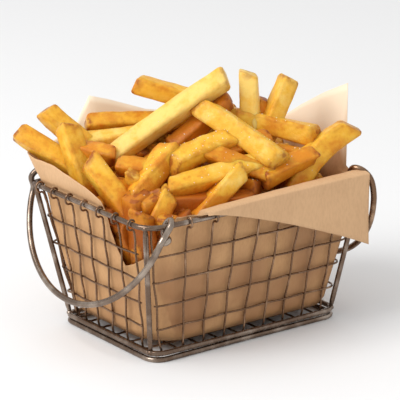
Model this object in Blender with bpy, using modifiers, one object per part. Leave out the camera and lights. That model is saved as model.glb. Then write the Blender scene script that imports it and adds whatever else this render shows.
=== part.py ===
"""French fries portion served in a rectangular wire mini fry basket.

The basket is a welded frame of round wires with two hanging bail handles.
A greaseproof paper liner stands inside it, and the fries fill the liner in
one heap.  All the named sizes below are in millimetres; the scene is built
in metres with +Z up, the long front face towards -Y.
"""

import math
from dataclasses import dataclass

import bmesh
import bpy
from mathutils import Matrix, Vector

MM = 0.001

# How far everything moves along +X so that the box round the whole portion,
# whose handles hang at different angles, stands centred on the origin.
CENTRING = 6.0

# Basket frame: centre lines of the wires.
RIM_LENGTH = 155.5
RIM_WIDTH = 112.0
RIM_HEIGHT = 82.0
RIM_RADIUS = 1.5
RIM_CORNER = 11.0
BASE_LENGTH = 128.6
BASE_WIDTH = 86.0
BASE_RADIUS = 1.5
BASE_CORNER = 8.5
BASE_RING_HEIGHTS = (1.5, 5.0)
POST_RADIUS = 1.5
POST_ARC_TOP = 22.0
POST_ARC_FOOT = 45.0

# Woven wires: nine cross the long sides, seven cross the ends.
WIRE_RADIUS = 0.6
WIRE_INSET_TOP = 0.9
WIRE_INSET_FOOT = 2.4
LAYER = 1.65
LONG_FIRST = -50.2
LONG_STEP = 17.86
LONG_CLOSING = 0.375
LONG_FIRST_FOOT = -42.9
LONG_STEP_FOOT = 13.8
LONG_COUNT = 8
LEANING_TOP = -73.0
LEANING_FOOT = -57.5
SHORT_FIRST = -43.8
SHORT_STEP = 14.7
SHORT_SWAY = 12.0
SHORT_COUNT = 7
FLOOR_HEIGHTS = (2.4, 3.9)
FLOOR_BEND = 3.0
CURL_RADIUS = 2.4
ROW_HEIGHTS = (18.9, 33.3, 47.9, 63.4)

# Bail handles: one over each end, hung from eyes on the long sides of the rim.
HANDLE_RADIUS = 1.5
HANDLE_PIVOT = 67.0
HANDLE_TILTS = (("handle_left", -1, 22.4), ("handle_right", 1, 9.5))
HANDLE_HALF_WIDTH = 62.6
HANDLE_DROP = 56.7
EYE_RADIUS = 5.5
EYE_SAG = 1.7
SHANK_OFFSET = 3.0
STUB_OFFSET = 3.0
STUB_LENGTH = 3.5

# Paper liner.
PAPER_THICKNESS = 0.35
PAPER_GAP = 2.75
PAPER_CORNERS_TOP = {1: 28.0, 3: 23.0, 5: 28.0, 7: 23.0}
PAPER_CORNERS_FOOT = {1: 24.0, 3: 12.0, 5: 24.0, 7: 12.0}
PAPER_PRESSED = (48.0, 71.0)
PAPER_FLOOR = 6.2
FLAP_START = -46.0
FLAP_END = 56.0
FLAP_TIP = 70.0

GOLD = (0.80, 0.42, 0.08)


@dataclass(frozen=True)
class Fry:
    """One stick of potato, placed by its visible tip and its direction."""

    tip: tuple
    heading: float
    lift: float
    length: float
    width: float = 9.5
    bend: float = 0.0
    roll: float = 20.0


FRIES = (
    Fry((14.7, -3.4, 141), 160, -32, 86, 10.5, 1.0, 30),
    Fry((-14.3, 43.6, 132), -41, -17, 62, 10.0, 0.5, 10),
    Fry((-44.3, 49.6, 112), -18, -4, 60, 9.0, 0.0, 35),
    Fry((-54.3, 41.6, 104), -23, 4, 50, 9.0, 0.5, 15),
    Fry((-67.3, 56.6, 122), -51, -39, 60, 10.0, 0.0, 25),
    Fry((-82.3, 61.6, 111), -52, -31, 60, 10.0, 0.5, 40),
    Fry((-63.3, 39.6, 116), -79, -68, 45, 9.0, 0.0, 10),
    Fry((-68.3, 12.6, 104), -68, -47, 60, 10.5, 1.5, 30),
    Fry((-62.3, 32.6, 104), -56, -5, 45, 9.0, 0.0, 20),
    Fry((-26.3, -9.4, 109), -169, -38, 40, 10.0, 0.0, 15),
    Fry((-34.3, -17.4, 101), -8, 16, 60, 9.5, 1.5, 25),
    Fry((-43.3, -26.4, 91), -11, 9, 62, 9.5, 0.0, 35),
    Fry((18.7, -47.4, 101), 113, 28, 62, 11.0, 0.5, 20),
    Fry((52.7, -37.4, 108), 131, 10, 62, 10.0, 0.0, 10),
    Fry((30.7, -2.4, 141), -113, -77, 55, 9.5, 0.5, 30),
    Fry((52.7, -12.4, 137), -175, -58, 58, 10.0, 0.0, 15),
    Fry((39.7, -5.4, 125), -146, -75, 40, 8.0, 0.0, 40),
    Fry((72.7, -44.4, 112), 178, -38, 55, 10.0, 3.0, 20),
    Fry((63.7, -38.4, 106), 177, -21, 50, 9.0, 0.0, 30),
    Fry((-3.3, -41.4, 99), 178, -38, 42, 9.5, 0.0, 15),
    Fry((15.7, -43.4, 92), 143, 22, 42, 9.0, 0.0, 35),
    Fry((5.7, -44.4, 87), 110, 10, 42, 8.5, 0.0, 20),
    Fry((44.7, -43.4, 97), 138, 10, 46, 9.0, 0.0, 10),
    Fry((9.7, -43.4, 91), -6, 18, 34, 9.0, 0.0, 25),
    Fry((-58.3, -18.4, 88), -94, -77, 40, 9.5, 0.5, 0),
    Fry((-43.3, -30.4, 91), 180, -57, 44, 9.5, 0.0, 30),
    Fry((-42.3, -29.4, 84), -20, -2, 45, 9.0, 0.0, 10),
    Fry((-8.3, -20.4, 101), -14, 14, 36, 9.0, 1.0, 40),
    Fry((-18.3, 4.6, 103), -14, 35, 44, 9.0, 0.0, 20),
    Fry((-54.3, 4.6, 100), -36, -7, 45, 9.0, 0.0, 30),
    Fry((25.7, 31.6, 117), -165, -8, 60, 9.5, 1.0, 15),
    Fry((61.7, 13.6, 108), 165, -6, 60, 9.5, 0.0, 35),
    Fry((9.7, 9.6, 117), 28, -16, 58, 9.0, 0.5, 25),
    Fry((55.7, 37.6, 101), -165, 5, 58, 9.5, 0.0, 10),
)

# Upper edge of the liner going round the basket: place, height and outward lean.
# Places count sides and corners: 0 front, 1 near left corner, 2 left end, and so on.
PAPER_EDGE = (
    (-0.30, 84.0, 0.0),
    (0.93, 84.0, 0.0),
    (1.00, 84.0, 0.0),
    (1.18, 84.0, 0.0),
    (1.29, 78.0, 0.0),
    (1.42, 69.0, 0.0),
    (1.56, 60.0, 0.0),
    (1.84, 52.0, 0.0),
    (2.00, 58.0, 0.0),
    (2.09, 69.0, 0.0),
    (2.15, 79.0, 0.0),
    (2.22, 86.5, 0.5),
    (2.50, 91.0, 1.0),
    (3.00, 97.5, 2.5),
    (3.36, 100.0, 7.0),
    (3.70, 99.0, 9.0),
    (4.13, 107.0, 12.3),
    (4.23, 123.5, 12.3),
    (4.35, 119.5, 12.0),
    (4.60, 110.0, 11.0),
    (5.00, 102.0, 6.0),
    (5.50, 99.0, 5.0),
    (6.00, 103.0, 5.5),
    (6.25, 112.0, 5.8),
    (6.65, 124.0, 5.8),
    (7.00, 133.0, 5.8),
    (7.07, 94.0, 5.0),
    (7.40, 86.0, 1.0),
    (7.62, 84.0, 0.0),
)
PAPER_COLUMNS_PER_SIDE = 4


def clear_scene():
    """Remove every object so the file starts empty."""
    for obj in list(bpy.data.objects):
        bpy.data.objects.remove(obj, do_unlink=True)


def make_collection(name, parent=None):
    """Return a new collection linked below the scene or below another one."""
    collection = bpy.data.collections.new(name)
    (parent or bpy.context.scene.collection).children.link(collection)
    return collection


def make_material(name, colour, roughness, metallic=0.0):
    """Return a plain Principled material."""
    material = bpy.data.materials.new(name)
    material.use_nodes = True
    shader = material.node_tree.nodes["Principled BSDF"]
    shader.inputs["Base Color"].default_value = (*colour, 1.0)
    shader.inputs["Roughness"].default_value = roughness
    shader.inputs["Metallic"].default_value = metallic
    material.diffuse_color = (*colour, 1.0)
    return material


def bronze(name):
    """Return the dark bronze of one basket wire."""
    return make_material(f"{name}_bronze", (0.16, 0.12, 0.09), 0.42, 0.9)


def lerp(start, end, share):
    return start + (end - start) * share


def placed(point):
    """Return a point in mm as a vector in metres, in the centred frame."""
    return (Vector(point) + Vector((CENTRING, 0.0, 0.0))) * MM


def wall_sizes(height, inset=0.0):
    """Return half length, half width and corner radius of the tapered frame."""
    share = (height - BASE_RING_HEIGHTS[1]) / (RIM_HEIGHT - BASE_RING_HEIGHTS[1])
    half_length = lerp(BASE_LENGTH, RIM_LENGTH, share) / 2 - inset
    half_width = lerp(BASE_WIDTH, RIM_WIDTH, share) / 2 - inset
    corner = max(lerp(BASE_CORNER, RIM_CORNER, share) - inset, 2.0)
    return half_length, half_width, corner


def wire_inset(height):
    """Return how far inside the frame's centre line the woven wires run."""
    return lerp(WIRE_INSET_FOOT, WIRE_INSET_TOP, height / RIM_HEIGHT)


def rounded_rectangle(half_length, half_width, corner, height, steps=4):
    """Return the points of a level rounded rectangle, going anticlockwise."""
    points = []
    for quarter, (side_x, side_y) in enumerate(((1, 1), (-1, 1), (-1, -1), (1, -1))):
        centre_x = side_x * (half_length - corner)
        centre_y = side_y * (half_width - corner)
        for step in range(steps + 1):
            angle = math.radians(90 * (quarter + step / steps))
            points.append(
                (
                    centre_x + corner * math.cos(angle),
                    centre_y + corner * math.sin(angle),
                    height,
                )
            )
    return points


def wire(name, points, radius, collection, closed=False, sides=8, parent=None):
    """Build one round wire as a bevelled curve through the given points in mm."""
    curve = bpy.data.curves.new(name, "CURVE")
    curve.dimensions = "3D"
    curve.twist_mode = "MINIMUM"
    curve.bevel_depth = radius * MM
    curve.bevel_resolution = sides // 2 - 2
    curve.use_fill_caps = not closed
    curve.resolution_u = 1
    spline = curve.splines.new("POLY")
    spline.points.add(len(points) - 1)
    spline.use_cyclic_u = closed
    for target, point in zip(spline.points, points):
        place = Vector(point) * MM if parent else placed(point)
        target.co = (*place, 1.0)
    obj = bpy.data.objects.new(name, curve)
    obj.data.materials.append(bronze(name))
    collection.objects.link(obj)
    obj.parent = parent
    return obj


def frame_rings(collection):
    """Build the rim and the two rings of the base."""
    half_length, half_width, corner = wall_sizes(RIM_HEIGHT)
    rim = rounded_rectangle(half_length, half_width, corner, RIM_HEIGHT, 4)
    wire("rim", rim, RIM_RADIUS, collection, closed=True)
    names = ("base_ring_lower", "base_ring_upper")
    for name, height in zip(names, BASE_RING_HEIGHTS):
        ring = rounded_rectangle(
            BASE_LENGTH / 2, BASE_WIDTH / 2, BASE_CORNER, height, 4
        )
        wire(name, ring, BASE_RADIUS, collection, closed=True)


def corner_posts(collection):
    """Build the four thick uprights that join the rim to the base."""
    levels = (
        (RIM_HEIGHT - RIM_RADIUS - 0.7, POST_ARC_TOP),
        (BASE_RING_HEIGHTS[1] + BASE_RADIUS + 0.7, POST_ARC_FOOT),
    )
    places = (
        ("front_left", -1, -1),
        ("front_right", 1, -1),
        ("back_left", -1, 1),
        ("back_right", 1, 1),
    )
    for place, side_x, side_y in places:
        points = []
        for height, arc in levels:
            half_length, half_width, corner = wall_sizes(height)
            angle = math.radians(arc)
            along = half_length - corner + corner * math.cos(angle)
            across = half_width - corner + corner * math.sin(angle)
            points.append((side_x * along, side_y * across, height))
        wire(f"post_{place}", points, POST_RADIUS, collection)


def curl(height, distance, sign):
    """Return a wire end that goes up outside the rim and curls over it."""
    points = []
    for angle in (-30, 30, 90, 150, 205):
        turn = math.radians(angle)
        points.append(
            (
                sign * (distance + CURL_RADIUS * math.cos(turn)),
                height + CURL_RADIUS * math.sin(turn),
            )
        )
    return points[::-1]


def wall_and_floor(foot, top, floor_height, curled=True):
    """Return the section of one U-shaped wire, as (distance, height) pairs.

    Args:
        foot: Distance of the wire from the middle at its foot.
        top: Distance of the rim's centre line from the middle.
        floor_height: Height of the wire's run under the liner.
        curled: Whether the ends curl round the rim.

    Returns:
        The pairs from the far end to the near end.
    """
    bend = [
        (foot, floor_height + FLOOR_BEND),
        (foot - FLOOR_BEND * 0.3, floor_height + FLOOR_BEND * 0.3),
        (foot - FLOOR_BEND, floor_height),
    ]
    below = (top - WIRE_INSET_TOP - 0.9, RIM_HEIGHT - 6.5)
    if curled:
        side = curl(RIM_HEIGHT, top, 1) + [below] + bend
    else:
        side = [below] + bend
    mirrored = [(-distance, height) for distance, height in reversed(side)]
    return side + mirrored


def long_side_wires(collection):
    """Build the wires that cross the long sides and run under the liner."""
    top = RIM_WIDTH / 2
    foot = BASE_WIDTH / 2 - WIRE_INSET_FOOT
    for index in range(LONG_COUNT):
        at_rim = LONG_FIRST + LONG_STEP * index - LONG_CLOSING * index**2
        at_foot = LONG_FIRST_FOOT + LONG_STEP_FOOT * index
        section = wall_and_floor(foot, top, FLOOR_HEIGHTS[0])
        points = [
            (lerp(at_foot, at_rim, min(height / RIM_HEIGHT, 1.0)), -distance, height)
            for distance, height in section
        ]
        wire(f"long_wire_{index + 2}", points, WIRE_RADIUS, collection, sides=6)
    lean = []
    for height in (RIM_HEIGHT - 2.4, 60.0, 40.0, 20.0, 9.0):
        share = (height - FLOOR_HEIGHTS[0]) / (RIM_HEIGHT - FLOOR_HEIGHTS[0])
        half_length, half_width, corner = wall_sizes(height, wire_inset(height))
        along = lerp(LEANING_FOOT, LEANING_TOP, share)
        past = max(abs(along) - (half_length - corner), 0.0)
        across = half_width - corner + math.sqrt(max(corner**2 - past**2, 0.0))
        lean.append((along, -across, height))
    end_y = lean[-1][1]
    lean.append((LEANING_FOOT, end_y + 0.4, FLOOR_HEIGHTS[0] + FLOOR_BEND))
    lean.append((LEANING_FOOT, end_y + 1.3, FLOOR_HEIGHTS[0] + 0.9))
    lean.append((LEANING_FOOT, end_y + 3.4, FLOOR_HEIGHTS[0]))
    lean += [(x, -y, z) for x, y, z in reversed(lean)]
    wire("long_wire_1", lean, WIRE_RADIUS, collection, sides=6)


def across_at(at_rim, height):
    """Return the y of an end wire at a height; they lean back towards the foot."""
    share = min(height / RIM_HEIGHT, 1.0)
    taper = BASE_WIDTH / RIM_WIDTH
    sway = SHORT_SWAY * (1.0 - (at_rim / 60.0) ** 2) * (1.0 - max(at_rim, 0.0) / 45.0)
    return at_rim * lerp(taper, 1.0, share) + sway * (1.0 - share)


def short_side_wires(collection):
    """Build the wires that cross the ends and run under the liner."""
    top = RIM_LENGTH / 2
    foot = BASE_LENGTH / 2 - WIRE_INSET_FOOT + 0.1
    for index in range(SHORT_COUNT):
        at_rim = SHORT_FIRST + SHORT_STEP * index
        section = wall_and_floor(foot, top, FLOOR_HEIGHTS[1])
        points = [
            (-distance, across_at(at_rim, height), height)
            for distance, height in section
        ]
        wire(f"short_wire_{index + 1}", points, WIRE_RADIUS, collection, sides=6)


def row_wires(collection):
    """Build the level wires that go round the walls inside the upright ones."""
    for index, height in enumerate(ROW_HEIGHTS):
        sizes = wall_sizes(height, wire_inset(height) + LAYER)
        ring = rounded_rectangle(*sizes, height, 2)
        wire(f"row_{index + 1}", ring, WIRE_RADIUS, collection, closed=True, sides=6)


def bail_points():
    """Return one handle's centre line as (offset, across, drop) from its pivot.

    The line starts at the stub of one eye, goes round the rim, down the
    shank and round the bail, and ends at the stub of the other eye.
    """
    eye_centre = RIM_WIDTH / 2
    end = []
    stub_angle = math.radians(300)
    past = eye_centre + EYE_RADIUS * math.cos(stub_angle)
    drop = EYE_SAG - EYE_RADIUS * math.sin(stub_angle)
    direction = (-math.sin(stub_angle), -math.cos(stub_angle))
    end.append(
        (
            STUB_OFFSET,
            past + STUB_LENGTH * direction[0],
            drop + STUB_LENGTH * direction[1],
        )
    )
    for degrees in range(300, -1, -30):
        angle = math.radians(degrees)
        if degrees > 90:
            offset = STUB_OFFSET * (degrees - 90) / 210
        else:
            offset = -SHANK_OFFSET * 0.5 * (90 - degrees) / 90
        end.append(
            (
                offset,
                eye_centre + EYE_RADIUS * math.cos(angle),
                EYE_SAG - EYE_RADIUS * math.sin(angle),
            )
        )
    middle = []
    steps = 16
    for step in range(steps + 1):
        angle = math.radians(lerp(7.0, 173.0, step / steps))
        middle.append(
            (
                -SHANK_OFFSET,
                HANDLE_HALF_WIDTH * math.cos(angle),
                HANDLE_DROP * math.sin(angle),
            )
        )
    other = [(offset, -across, drop) for offset, across, drop in reversed(end)]
    return end + middle + other


def handles(collection):
    """Build the two bail handles, each turning about its pivot empty."""
    for name, side, tilt in HANDLE_TILTS:
        pivot = bpy.data.objects.new(f"{name}_pivot", None)
        pivot.location = placed((side * HANDLE_PIVOT, 0.0, RIM_HEIGHT))
        pivot.rotation_euler = (0.0, -side * math.radians(tilt), 0.0)
        collection.objects.link(pivot)
        points = [(-side * offset, across, -drop) for offset, across, drop in bail_points()]
        wire(name, points, HANDLE_RADIUS, collection, parent=pivot)


def paper_section(place, height, outward=0.0):
    """Return the (x, y) of the liner's wall at a place round the basket.

    Args:
        place: Position counted in sides and corners, from the front.
        height: Height above the floor in mm.
        outward: How far the paper leans out of its wall there.

    Returns:
        The point in mm.
    """
    level = min(height, RIM_HEIGHT + 2.0)
    half_length, half_width, _ = wall_sizes(level, wire_inset(level) + PAPER_GAP)
    turn = place % 8.0
    side = int(turn)
    part = turn - side
    if side % 2:
        corner = paper_corner(side, height)
        signs = {1: (-1, -1), 3: (-1, 1), 5: (1, 1), 7: (1, -1)}[side]
        start = {1: -90.0, 3: 180.0, 5: 90.0, 7: 0.0}[side]
        angle = math.radians(start - 90.0 * part)
        reach = corner + outward
        x = signs[0] * (half_length - corner) + reach * math.cos(angle)
        y = signs[1] * (half_width - corner) + reach * math.sin(angle)
        return x, y
    before = paper_corner((side - 1) % 8, height)
    after = paper_corner(side + 1, height)
    if side == 0:
        along = lerp(half_length - before, after - half_length, part)
        return along, -half_width - outward
    if side == 2:
        across = lerp(before - half_width, half_width - after, part)
        return -half_length - outward, across
    if side == 4:
        return lerp(before - half_length, half_length - after, part), half_width + outward
    across = lerp(half_width - before, after - half_width, part)
    return half_length + outward, across


def paper_corner(side, height):
    """Return a liner corner's radius; under the handle's eyes it is pressed in."""
    low, high = PAPER_PRESSED
    share = min(max((height - low) / (high - low), 0.0), 1.0)
    return lerp(PAPER_CORNERS_FOOT[side], PAPER_CORNERS_TOP[side], share)


def edge_at(place):
    """Return the height and lean of the liner's upper edge at a place."""
    for (start, low, lean_low), (end, high, lean_high) in zip(PAPER_EDGE, PAPER_EDGE[1:]):
        if place <= end:
            share = max((place - start) / (end - start), 0.0)
            return lerp(low, high, share), lerp(lean_low, lean_high, share)
    return PAPER_EDGE[-1][1:]


def flap_depth(x):
    """Return how far the folded flap hangs below its fold at x."""
    share = max((x + 40.0) / 108.0, 0.0)
    return 0.8 + 40.0 * share**1.2


def flap_reach(x):
    """Return the y of the hanging flap at x, clear of the handle's shank."""
    share = min(max((x - FLAP_START) / (FLAP_TIP - 20.0 - FLAP_START), 0.0), 1.0)
    return -60.4 - 4.5 * share**1.2


def fold_height(x):
    """Return the height of the flap's fold, just over the curled wire ends."""
    share = min(max((x + 50.0) / 100.0, 0.0), 1.0)
    return 85.8 + 5.2 * share**0.75


def paper_places():
    """Return the places round the liner where its columns stand."""
    places = [-0.30, -0.15]
    steps = PAPER_COLUMNS_PER_SIDE
    for side in range(8):
        for step in range(steps):
            places.append(side + step / steps)
    knots = [place for place, _, _ in PAPER_EDGE]
    kept = [p for p in places if p < 7.60 and all(abs(p - k) > 0.06 for k in knots)]
    return sorted(set(kept + knots))


def paper_mesh(name, extra, thickness, collection):
    """Build the liner: pouch, raised corners and the flap over the front rim.

    Args:
        name: Name of the object.
        extra: Length in mm added to the upper edge.
        thickness: Thickness of the sheet in mm.
        collection: Collection to link the object to.

    Returns:
        The new object, a surface with a Solidify modifier.
    """
    mesh = bmesh.new()
    columns = []
    middle = mesh.verts.new((0.0, 0.0, PAPER_FLOOR))
    for place in paper_places():
        top, lean = edge_at(place)
        top += extra
        near = paper_section(place, 30.0)
        flapped = place <= 1.0 and near[0] > FLAP_START - 2.0
        rows = []
        for inset, height in ((9.0, PAPER_FLOOR), (2.5, PAPER_FLOOR + 1.2)):
            x, y = paper_section(place, height, -inset)
            rows.append((x, y, height))
        for share in (0.0, 0.5, 0.83, 1.0):
            wall_top = 83.0 if flapped else min(top, 83.0)
            height = lerp(PAPER_FLOOR + 6.0, wall_top, share)
            x, y = paper_section(place, height)
            rows.append((x, y, height))
        if flapped and place < 1.0:
            x = rows[-1][0]
            fold = fold_height(x)
            reach = flap_reach(x)
            rows.append((x, lerp(rows[-1][1], reach, 0.45), fold))
            rows.append((x, reach, fold - 1.4))
        elif top > 84.0:
            for share in (0.5, 1.0):
                height = lerp(83.0, top, share)
                x, y = paper_section(place, height, lean * share)
                rows.append((x, y, height))
        else:
            rows.append(lerp_point(rows[-2], rows[-1], 1.02))
            rows.append(lerp_point(rows[-3], rows[-1], 1.0))
        columns.append((place, rows))
    grid = []
    for place, rows in columns:
        verts = []
        for row in rows:
            if verts and (Vector(row) - verts[-1].co).length < 0.05:
                verts.append(verts[-1])
            else:
                verts.append(mesh.verts.new(row))
        grid.append(verts)
    for left, right in zip(grid, grid[1:]):
        mesh.faces.new((middle, right[0], left[0]))
        for low in range(len(left) - 1):
            corners = [left[low], right[low], right[low + 1], left[low + 1]]
            unique = list(dict.fromkeys(corners))
            if len(unique) > 2:
                mesh.faces.new(unique)
    add_flap(mesh, columns, grid, extra)
    bmesh.ops.recalc_face_normals(mesh, faces=mesh.faces)
    for vert in mesh.verts:
        vert.co = placed(vert.co)
    data = bpy.data.meshes.new(name)
    mesh.to_mesh(data)
    mesh.free()
    obj = bpy.data.objects.new(name, data)
    collection.objects.link(obj)
    solidify = obj.modifiers.new("Sheet thickness", "SOLIDIFY")
    solidify.thickness = thickness * MM
    solidify.offset = 0.0
    return obj


def lerp_point(start, end, share):
    return tuple(Vector(start).lerp(Vector(end), share))


def add_flap(mesh, columns, grid, extra):
    """Add the hanging flap below the folded columns, and its free corner."""
    lines = []
    for (place, _), verts in zip(columns, grid):
        if place >= 1.0:
            break
        x = verts[-1].co.x
        lines.append((x, verts[-1]))
    lines.sort(key=lambda line: line[0])
    for x in (FLAP_END + 7.0, FLAP_TIP - 1.5):
        start = mesh.verts.new((x, flap_reach(x), fold_height(x) - 0.4))
        lines.append((x, start))
    hanging = []
    for x, start in lines:
        low_x = lerp(x, x + 1.5, max((x - FLAP_START) / 116.0, 0.0))
        depth = flap_depth(low_x) + extra
        column = [start]
        for share in (0.33, 0.66, 1.0):
            height = start.co.z - depth * share
            reach = start.co.y - 0.5 * share
            column.append(mesh.verts.new((lerp(x, low_x, share), reach, height)))
        hanging.append(column)
    for left, right in zip(hanging, hanging[1:]):
        for low in range(3):
            mesh.faces.new((left[low], left[low + 1], right[low + 1], right[low]))


def stick(fry, name, collection):
    """Build one fry as a slightly bent and tapered square stick."""
    mesh = bmesh.new()
    bmesh.ops.create_cube(mesh, size=1.0)
    long_edges = [
        edge
        for edge in mesh.edges
        if abs(edge.verts[0].co.x - edge.verts[1].co.x) > 0.5
    ]
    bmesh.ops.subdivide_edges(mesh, edges=long_edges, cuts=1)
    for vert in mesh.verts:
        share = vert.co.x * 2
        slim = 1.0 - 0.08 * share**2
        vert.co.y *= fry.width * slim
        vert.co.z *= fry.width * slim
        vert.co.z += fry.bend * (1.0 - share**2)
        vert.co.x = fry.length * (0.5 + vert.co.x)
    data = bpy.data.meshes.new(name)
    place = (
        Matrix.Translation(placed(fry.tip))
        @ Matrix.Rotation(math.radians(fry.heading), 4, "Z")
        @ Matrix.Rotation(-math.radians(fry.lift), 4, "Y")
        @ Matrix.Rotation(math.radians(fry.roll), 4, "X")
    )
    for vert in mesh.verts:
        vert.co *= MM
    mesh.to_mesh(data)
    mesh.free()
    obj = bpy.data.objects.new(name, data)
    obj.matrix_world = place
    collection.objects.link(obj)
    return obj


def heap_core(name, collection):
    """Build the dense inside of the heap, from the pouch floor to a dome."""
    mesh = bmesh.new()
    bmesh.ops.create_uvsphere(mesh, u_segments=20, v_segments=10, radius=1.0)
    bottom = PAPER_FLOOR + 1.2
    dome = 101.0
    for vert in mesh.verts:
        direction = vert.co.copy()
        level = (direction.z + 1.0) / 2.0
        height = lerp(bottom, dome, level)
        wall = min(height, 80.0)
        half_length, half_width, _ = wall_sizes(wall, wire_inset(wall) + PAPER_GAP + 1.2)
        flat = math.hypot(direction.x, direction.y)
        if flat < 1e-6:
            vert.co = Vector((0.0, 0.0, height))
            continue
        angle = math.atan2(direction.y, direction.x)
        fill = flat ** (0.35 if direction.z < 0 else 0.55)
        power = 0.72
        along = math.copysign(abs(math.cos(angle)) ** power, math.cos(angle))
        across = math.copysign(abs(math.sin(angle)) ** power, math.sin(angle))
        vert.co = Vector((half_length * along * fill, half_width * across * fill, height))
    for vert in mesh.verts:
        vert.co = placed(vert.co)
    data = bpy.data.meshes.new(name)
    mesh.to_mesh(data)
    mesh.free()
    obj = bpy.data.objects.new(name, data)
    collection.objects.link(obj)
    return obj


def heap(collection, helpers):
    """Build the fries as one solid: the core with the visible sticks on it."""
    sticks = make_collection("fry_sticks", helpers)
    sticks.hide_render = True
    for index, fry in enumerate(FRIES):
        helper = stick(fry, f"stick_{index + 1}", sticks)
        helper.hide_render = True
        helper.display_type = "WIRE"
    cutter = paper_mesh("liner_clearance", 0.5, PAPER_THICKNESS + 0.7, helpers)
    cutter.hide_render = True
    cutter.display_type = "WIRE"
    obj = heap_core("fries", collection)
    obj.data.materials.append(make_material("fries_golden", GOLD, 0.55))
    union = obj.modifiers.new("Sticks", "BOOLEAN")
    union.operation = "UNION"
    union.operand_type = "COLLECTION"
    union.collection = sticks
    union.solver = "EXACT"
    union.use_self = True
    trim = obj.modifiers.new("Clear of the liner", "BOOLEAN")
    trim.operation = "DIFFERENCE"
    trim.object = cutter
    trim.solver = "EXACT"
    return obj


def main():
    """Build the whole portion."""
    clear_scene()
    portion = make_collection("french_fries_portion")
    helpers = make_collection("helpers")
    helpers.hide_render = True
    frame_rings(portion)
    corner_posts(portion)
    long_side_wires(portion)
    short_side_wires(portion)
    row_wires(portion)
    handles(portion)
    liner = paper_mesh("paper_liner", 0.0, PAPER_THICKNESS, portion)
    liner.data.materials.append(make_material("liner_kraft", (0.58, 0.38, 0.20), 0.8))
    heap(portion, helpers)


main()
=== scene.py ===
"""French fries heaped in a paper-lined wire mini basket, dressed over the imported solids.

Sizes are in millimetres and degrees unless a name says otherwise, and every
finished piece is scaled to metres when it is set on its body.
"""

import logging
import math
import random
from dataclasses import dataclass, field
from enum import Enum

import bmesh
import bpy
import numpy as np
from mathutils import Matrix, Vector, noise


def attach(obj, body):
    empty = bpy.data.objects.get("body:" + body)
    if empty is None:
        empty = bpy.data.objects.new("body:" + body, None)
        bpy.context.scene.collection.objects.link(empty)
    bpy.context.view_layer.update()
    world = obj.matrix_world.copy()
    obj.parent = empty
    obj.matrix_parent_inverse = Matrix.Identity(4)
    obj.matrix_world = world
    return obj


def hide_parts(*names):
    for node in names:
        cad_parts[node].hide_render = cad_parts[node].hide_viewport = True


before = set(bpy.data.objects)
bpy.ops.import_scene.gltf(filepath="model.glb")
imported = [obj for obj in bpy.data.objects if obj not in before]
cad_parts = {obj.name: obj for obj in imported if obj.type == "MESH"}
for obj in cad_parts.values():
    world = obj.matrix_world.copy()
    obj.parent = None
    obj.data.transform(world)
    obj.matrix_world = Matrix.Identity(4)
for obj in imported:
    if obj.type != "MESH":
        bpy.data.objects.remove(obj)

LOG = logging.getLogger("fries_basket")
MM = 0.001
# The left handle hangs further out, so the basket stands this far to the right.
CENTRING = 6.0
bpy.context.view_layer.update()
# Attributes of the potato that its finish reads; tone also carries painted shade for sticks lying
# deep in the heap.
MARKS = ("edge", "tip", "tone")


class Side(Enum):
    """End of the basket that a handle hangs over."""

    LEFT = -1
    RIGHT = 1


class Browning(Enum):
    """How far a stick was fried, as a share from blond to dark."""

    BLOND = 0.06
    PALE = 0.22
    GOLDEN = 0.42
    ORANGE = 0.64
    DARK = 0.86


def blend(start: float, end: float, share: float) -> float:
    """Return the value at a share of the way from start to end."""
    return start + (end - start) * share


def ease(value: float, low: float, high: float) -> float:
    """Return a smooth step from 0 at low to 1 at high."""
    share = min(max((value - low) / (high - low), 0.0), 1.0)
    return share * share * (3.0 - 2.0 * share)


def crimp(position: float, crossings: list[tuple[float, float]]) -> float:
    """Return the bend of a woven wire between the wires that it crosses.

    Args:
        position: Distance along the wire.
        crossings: Position and bend at each crossing, in order.

    Returns:
        The bend, which swings smoothly from one crossing to the next.
    """
    if position <= crossings[0][0]:
        return crossings[0][1]
    for (start, low), (end, high) in zip(crossings, crossings[1:]):
        if position <= end:
            share = (position - start) / (end - start)
            return blend(low, high, (1.0 - math.cos(math.pi * share)) / 2.0)
    return crossings[-1][1]


def smooth_run(knots: list[Vector], spacing: float, closed: bool = False) -> list[Vector]:
    """Return evenly stepped points on one smooth curve through the knots.

    Args:
        knots: Points that the curve passes through.
        spacing: Rough distance between the points.
        closed: Whether the curve joins up.

    Returns:
        The points, without the first repeated at the end.
    """
    count = len(knots)
    spans = count if closed else count - 1
    points: list[Vector] = []
    for index in range(spans):
        start, end = knots[index], knots[(index + 1) % count]
        before = knots[index - 1] if index or closed else start * 2 - end
        past = index + 2
        after = knots[past % count] if past < count or closed else end * 2 - start
        gap = max((end - start).length, 1e-6)
        gap_before = max((start - before).length, 1e-6)
        gap_after = max((after - end).length, 1e-6)
        pull = (end - start) / gap
        slope_in = ((start - before) / gap_before * gap + pull * gap_before) / (gap + gap_before)
        slope_out = ((after - end) / gap_after * gap + pull * gap_after) / (gap + gap_after)
        steps = max(1, round(gap / spacing))
        for step in range(steps):
            t = step / steps
            points.append(
                start * (2 * t**3 - 3 * t**2 + 1)
                + slope_in * gap * (t**3 - 2 * t**2 + t)
                + end * (3 * t**2 - 2 * t**3)
                + slope_out * gap * (t**3 - t**2)
            )
    if not closed:
        points.append(knots[-1].copy())
    return points


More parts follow.
